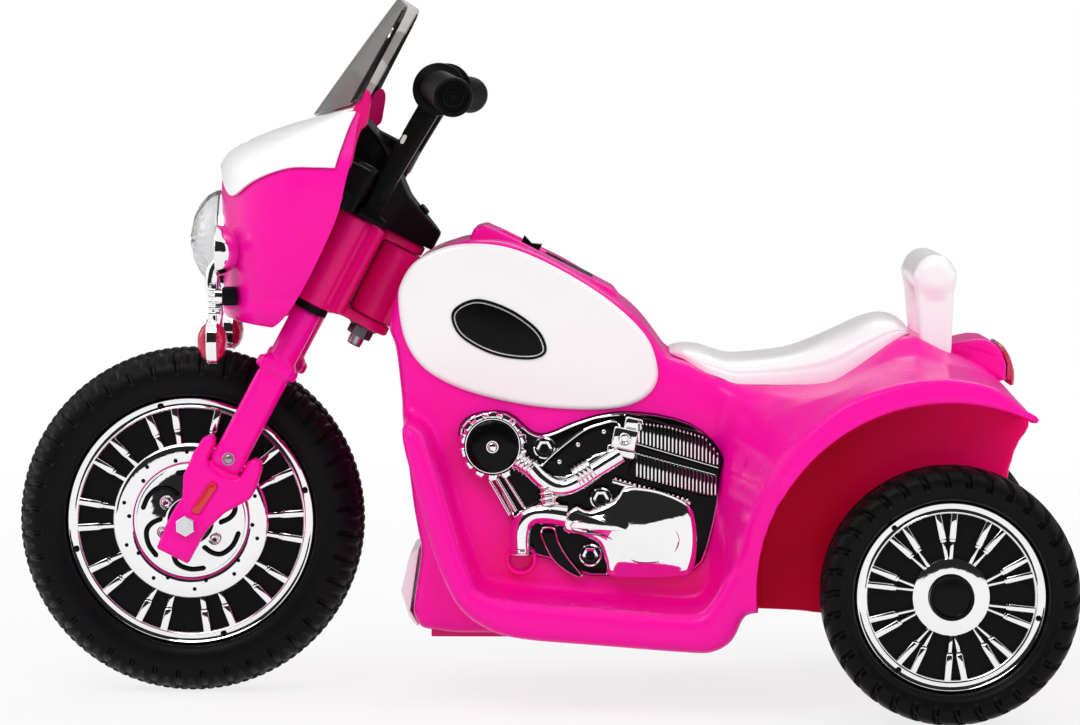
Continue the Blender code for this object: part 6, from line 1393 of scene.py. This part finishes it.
# A field over the tail: the housing's outline drawn in from side to side, its underside scooped.
def tailField():
    low, cell = (0.296, -0.052, 0.238), 0.0012
    x, y, z = fieldGrid(low, (0.3625, 0.052, 0.279), cell)
    outline = sideOutline(line(2990, 2650, 3050, 2680, 3180, 2720, 3330, 2750, 3420, 2745, 3500, 2700, 3545, 2630,
                               3570, 2560, 3570, 2440, 3520, 2425, 3410, 2490, 3300, 2535, 3040, 2600, 3005, 2620),
                          x, z)
    field = thickened(outline, np.abs(y) - 0.0478 + 0.2 * np.clip(0.33 - x, 0, 1), 0.0042)
    seam = np.abs(z - 0.2655 - 0.3 * (0.335 - x)) - 0.0005
    return softened(carved(field, np.maximum(seam, 0.0455 - np.abs(y)), 0.0006), 0.7), low, cell


# Tail lens: its back outline swept across, with upright ribs and a step round the edge.
def tailLens():
    outline = through(line(3508, 2698, 3535, 2705, 3568, 2672, 3595, 2620, 3620, 2550, 3633, 2480, 3633, 2420,
                           3622, 2388, 3595, 2398, 3576, 2418, 3575, 2480, 3574, 2560, 3545, 2640), 6, True)
    across = np.linspace(-1, 1, 181)[:, None]
    middle = outline.mean(0)
    scale = (1 - np.abs(across) ** 14 * 0.3)
    rib = 0.00035 * np.cos(across * np.pi * 22)
    x, z = (middle[k] + (outline[None, :, k] - middle[k]) * scale for k in (0, 1))
    x = x + rib * ramp(outline[None, :, 0], 0.3575, 0.36)
    return sectioned(np.stack([x, 0.0442 * across * np.ones_like(x), z], -1))


# ---- tank cover, its panel, switch and socket

consoleLine = line(-530, 3484, -480, 3590, -400, 3612, -250, 3545, 100, 3370, 400, 3215, 570, 3125, 620, 3060,
                   620, 2996, 570, 3020, 180, 3275, -190, 3430, -450, 3456)


def consoleField():
    low, cell = (-0.056, -0.045, 0.296), 0.0012
    x, y, z = fieldGrid(low, (0.065, 0.045, 0.364), cell)
    a = np.abs(y)
    slope = (0.3612 - z) - (x + 0.04) * 0.4995
    field = thickened(sideOutline(consoleLine, x, z), a - 0.0418, 0.003)
    field = np.maximum(field, -(slope * 0.9 - (a - 0.0395) * 0.55 + 0.0002) - 0.0015)
    dish = common(a - 0.0265, np.abs(x - 0.003) - 0.033, slope - 0.0022)
    return softened(carved(field, dish, 0.0008), 0.7), low, cell


piece("seat_moulding", seatShape(), "white", "body", ["seat"], 40)
for name, field, look, node in (("grab_bar", grabField, "white", "backrest"),
                                ("tail_lamp_moulding", tailField, "pink", "tail_lamp_housing"),
                                ("tank_console_moulding", consoleField, "pink", "tank_console")):
    shape, normals = surfaceOf(*field())
    piece(name, shape, look, "body", [node], normals=normals)
piece("tail_lamp_glass", tailLens(), "red", "body", ["tail_lamp_lens"], 40)

# painted shade: the floor pan is in the darker copy of the pink
for look, names in (("black", ("console_panel", "charging_socket", "pedal_bracket", "gearbox_case", "gearbox_cover",
                               "battery")),
                    ("glossBlack", ("rocker_switch", "dash_button_left", "dash_button_right")),
                    ("white", ("front_lower_cover",)), ("tray", ("accelerator_pedal",)),
                    ("nylon", ("motor_pinion", "reduction_gear", "output_gear")), ("steel", ("motor", "rear_axle")),
                    ("paintedShadePink", ("floor_pan",))):
    for name in names:
        refined(name, look, 0.0005 if look == "nylon" else 0.0009)
refined("front_axle", "satin", 0.0009)

# Raised ribs across each footboard, with the right board's left out where the pedal stands.
ribPlaces = [(x, 0.0868 - 0.0024 * k) for k, x in enumerate((-0.029, -0.001, 0.028, 0.056, 0.083, 0.111))]
for side, low, high, places in (("left", -0.148, -0.112, ribPlaces), ("right", 0.112, 0.148, ribPlaces[3:])):
    bars = [block((x - 0.0022, low, z - 0.003), (x + 0.0022, high, z + 0.0012), 0.001, 3) for x, z in places]
    piece("footboard_ribs_" + side, together(*bars), "pink", "body")
print("seat, tail, console and small parts made")


# ---- floor, light and camera

stageSizes = {"floor": 14.0, "shine": 0.8, "world": 0.62, "key": 26.0, "fill": 12.0, "rim": 12.0, "front": 7.0}
stageSpot = Vector((0.0, 0.0, 0.22))


# A flat rectangle with an empty material of its own, and that material's tree.
def rectangle(name, lookName, size):
    half = Vector(size) / 2
    corners = [(-half.x, -half.y, 0), (half.x, -half.y, 0), (half.x, half.y, 0), (-half.x, half.y, 0)]
    mesh = bpy.data.meshes.new(name)
    mesh.from_pydata(corners, [], [(0, 1, 2, 3)])
    sheet = bpy.data.objects.new(name, mesh)
    bpy.context.scene.collection.objects.link(sheet)
    look = bpy.data.materials.new(lookName)
    look.use_nodes = True
    look.node_tree.nodes.clear()
    mesh.materials.append(look)
    return sheet, look.node_tree


# One where the camera, a mirror or glass looks, nought where the surface lights the object.
def seenDirectly(tree):
    path = addNode(tree, "LightPath").outputs
    seen = mathNode(tree, "MAXIMUM", path["Is Camera Ray"], path["Is Glossy Ray"])
    return mathNode(tree, "MAXIMUM", seen, path["Is Transmission Ray"])


# A pale floor that shows white to the camera and still takes the object's shadow.
def makeFloor():
    size = 2 * stageSizes["floor"]
    floor, tree = rectangle("floor", "pale_floor", (size, size))
    matt = addNode(tree, "BsdfDiffuse", {"Color": (0.88, 0.88, 0.88, 1.0)})
    glow = addNode(tree, "Emission", {"Strength": 1.0})
    reach = addNode(tree, "VectorMath", {0: addNode(tree, "TexCoord").outputs["Object"]}, operation="LENGTH")
    fade = addNode(tree, "MapRange", {"Value": reach.outputs["Value"], "From Min": 0.7, "From Max": 2.2,
                                      "To Min": stageSizes["shine"], "To Max": 1.0})
    share = mathNode(tree, "MULTIPLY", seenDirectly(tree), fade.outputs["Result"])
    mix = addNode(tree, "MixShader", {"Fac": share, 1: matt.outputs[0], 2: glow.outputs[0]})
    addNode(tree, "OutputMaterial", {"Surface": mix.outputs[0]})


# White where the camera, a mirror or glass looks; plainer where it lights the object.
def makeWorld():
    world = bpy.data.worlds.new("studio")
    bpy.context.scene.world = world
    world.use_nodes = True
    tree = world.node_tree
    tree.nodes.clear()
    plain, white = (addNode(tree, "Background", {"Color": (1.0, 1.0, 1.0, 1.0), "Strength": strength}).outputs[0]
                    for strength in (stageSizes["world"], 1.0))
    mix = addNode(tree, "MixShader", {"Fac": seenDirectly(tree), 1: plain, 2: white})
    addNode(tree, "OutputWorld", {"Surface": mix.outputs[0]})


def softBox(name, place, size, power):
    light = bpy.data.lights.new(name, "AREA")
    light.shape = "RECTANGLE"
    light.size, light.size_y = size
    light.energy = power
    lamp = bpy.data.objects.new(name, light)
    bpy.context.scene.collection.objects.link(lamp)
    lamp.location = place
    lamp.rotation_mode = "QUATERNION"
    lamp.rotation_quaternion = (Vector(place) - stageSpot).to_track_quat("Z", "Y")
    return lamp


# An upright dark card that only mirror-like surfaces see, so that the plating has something to show.
def darkCard(name, centre, size, tone):
    card, tree = rectangle(name, name, size)
    card.location = centre
    card.rotation_euler = (math.radians(90.0), 0.0, 0.0)
    glow = addNode(tree, "Emission", {"Color": (tone, tone, tone * 1.05, 1.0)})
    addNode(tree, "OutputMaterial", {"Surface": glow.outputs[0]})
    for ray in ("visible_camera", "visible_diffuse", "visible_transmission", "visible_shadow"):
        setattr(card, ray, False)


makeFloor()
makeWorld()
darkCard("upper_card", (0.1, -2.9, 1.69), (7.0, 3.02), 0.02)
darkCard("back_card", (0.1, 3.2, 1.9), (8.0, 3.4), 0.2)
darkCard("left_card", (-2.4, -2.9, 0.31), (1.6, 0.62), 0.02)
darkCard("right_card", (2.45, -2.9, 0.31), (1.5, 0.62), 0.02)
softBox("key_light", (-1.0, -1.9, 2.3), (1.8, 1.2), stageSizes["key"])
softBox("fill_light", (1.7, -1.6, 1.3), (1.4, 1.4), stageSizes["fill"]).visible_glossy = False
softBox("rim_light", (0.6, 2.0, 2.0), (1.8, 1.0), stageSizes["rim"])
softBox("front_light", (-2.2, 0.4, 1.2), (1.2, 1.2), stageSizes["front"])

cameraData = bpy.data.cameras.new("camera")
cameraData.sensor_width = 36.0
cameraData.lens = 155.87
cameraData.clip_start = 0.05
cameraData.clip_end = 60.0
camera = bpy.data.objects.new("camera", cameraData)
bpy.context.scene.collection.objects.link(camera)
camera.location = (0.0667, -3.6, 0.4752)
camera.rotation_euler = (math.radians(90.0 - 3.5184), 0.0, math.radians(1.0394))
bpy.context.scene.camera = camera
bpy.context.scene.view_settings.view_transform = "Standard"
print("stage set")
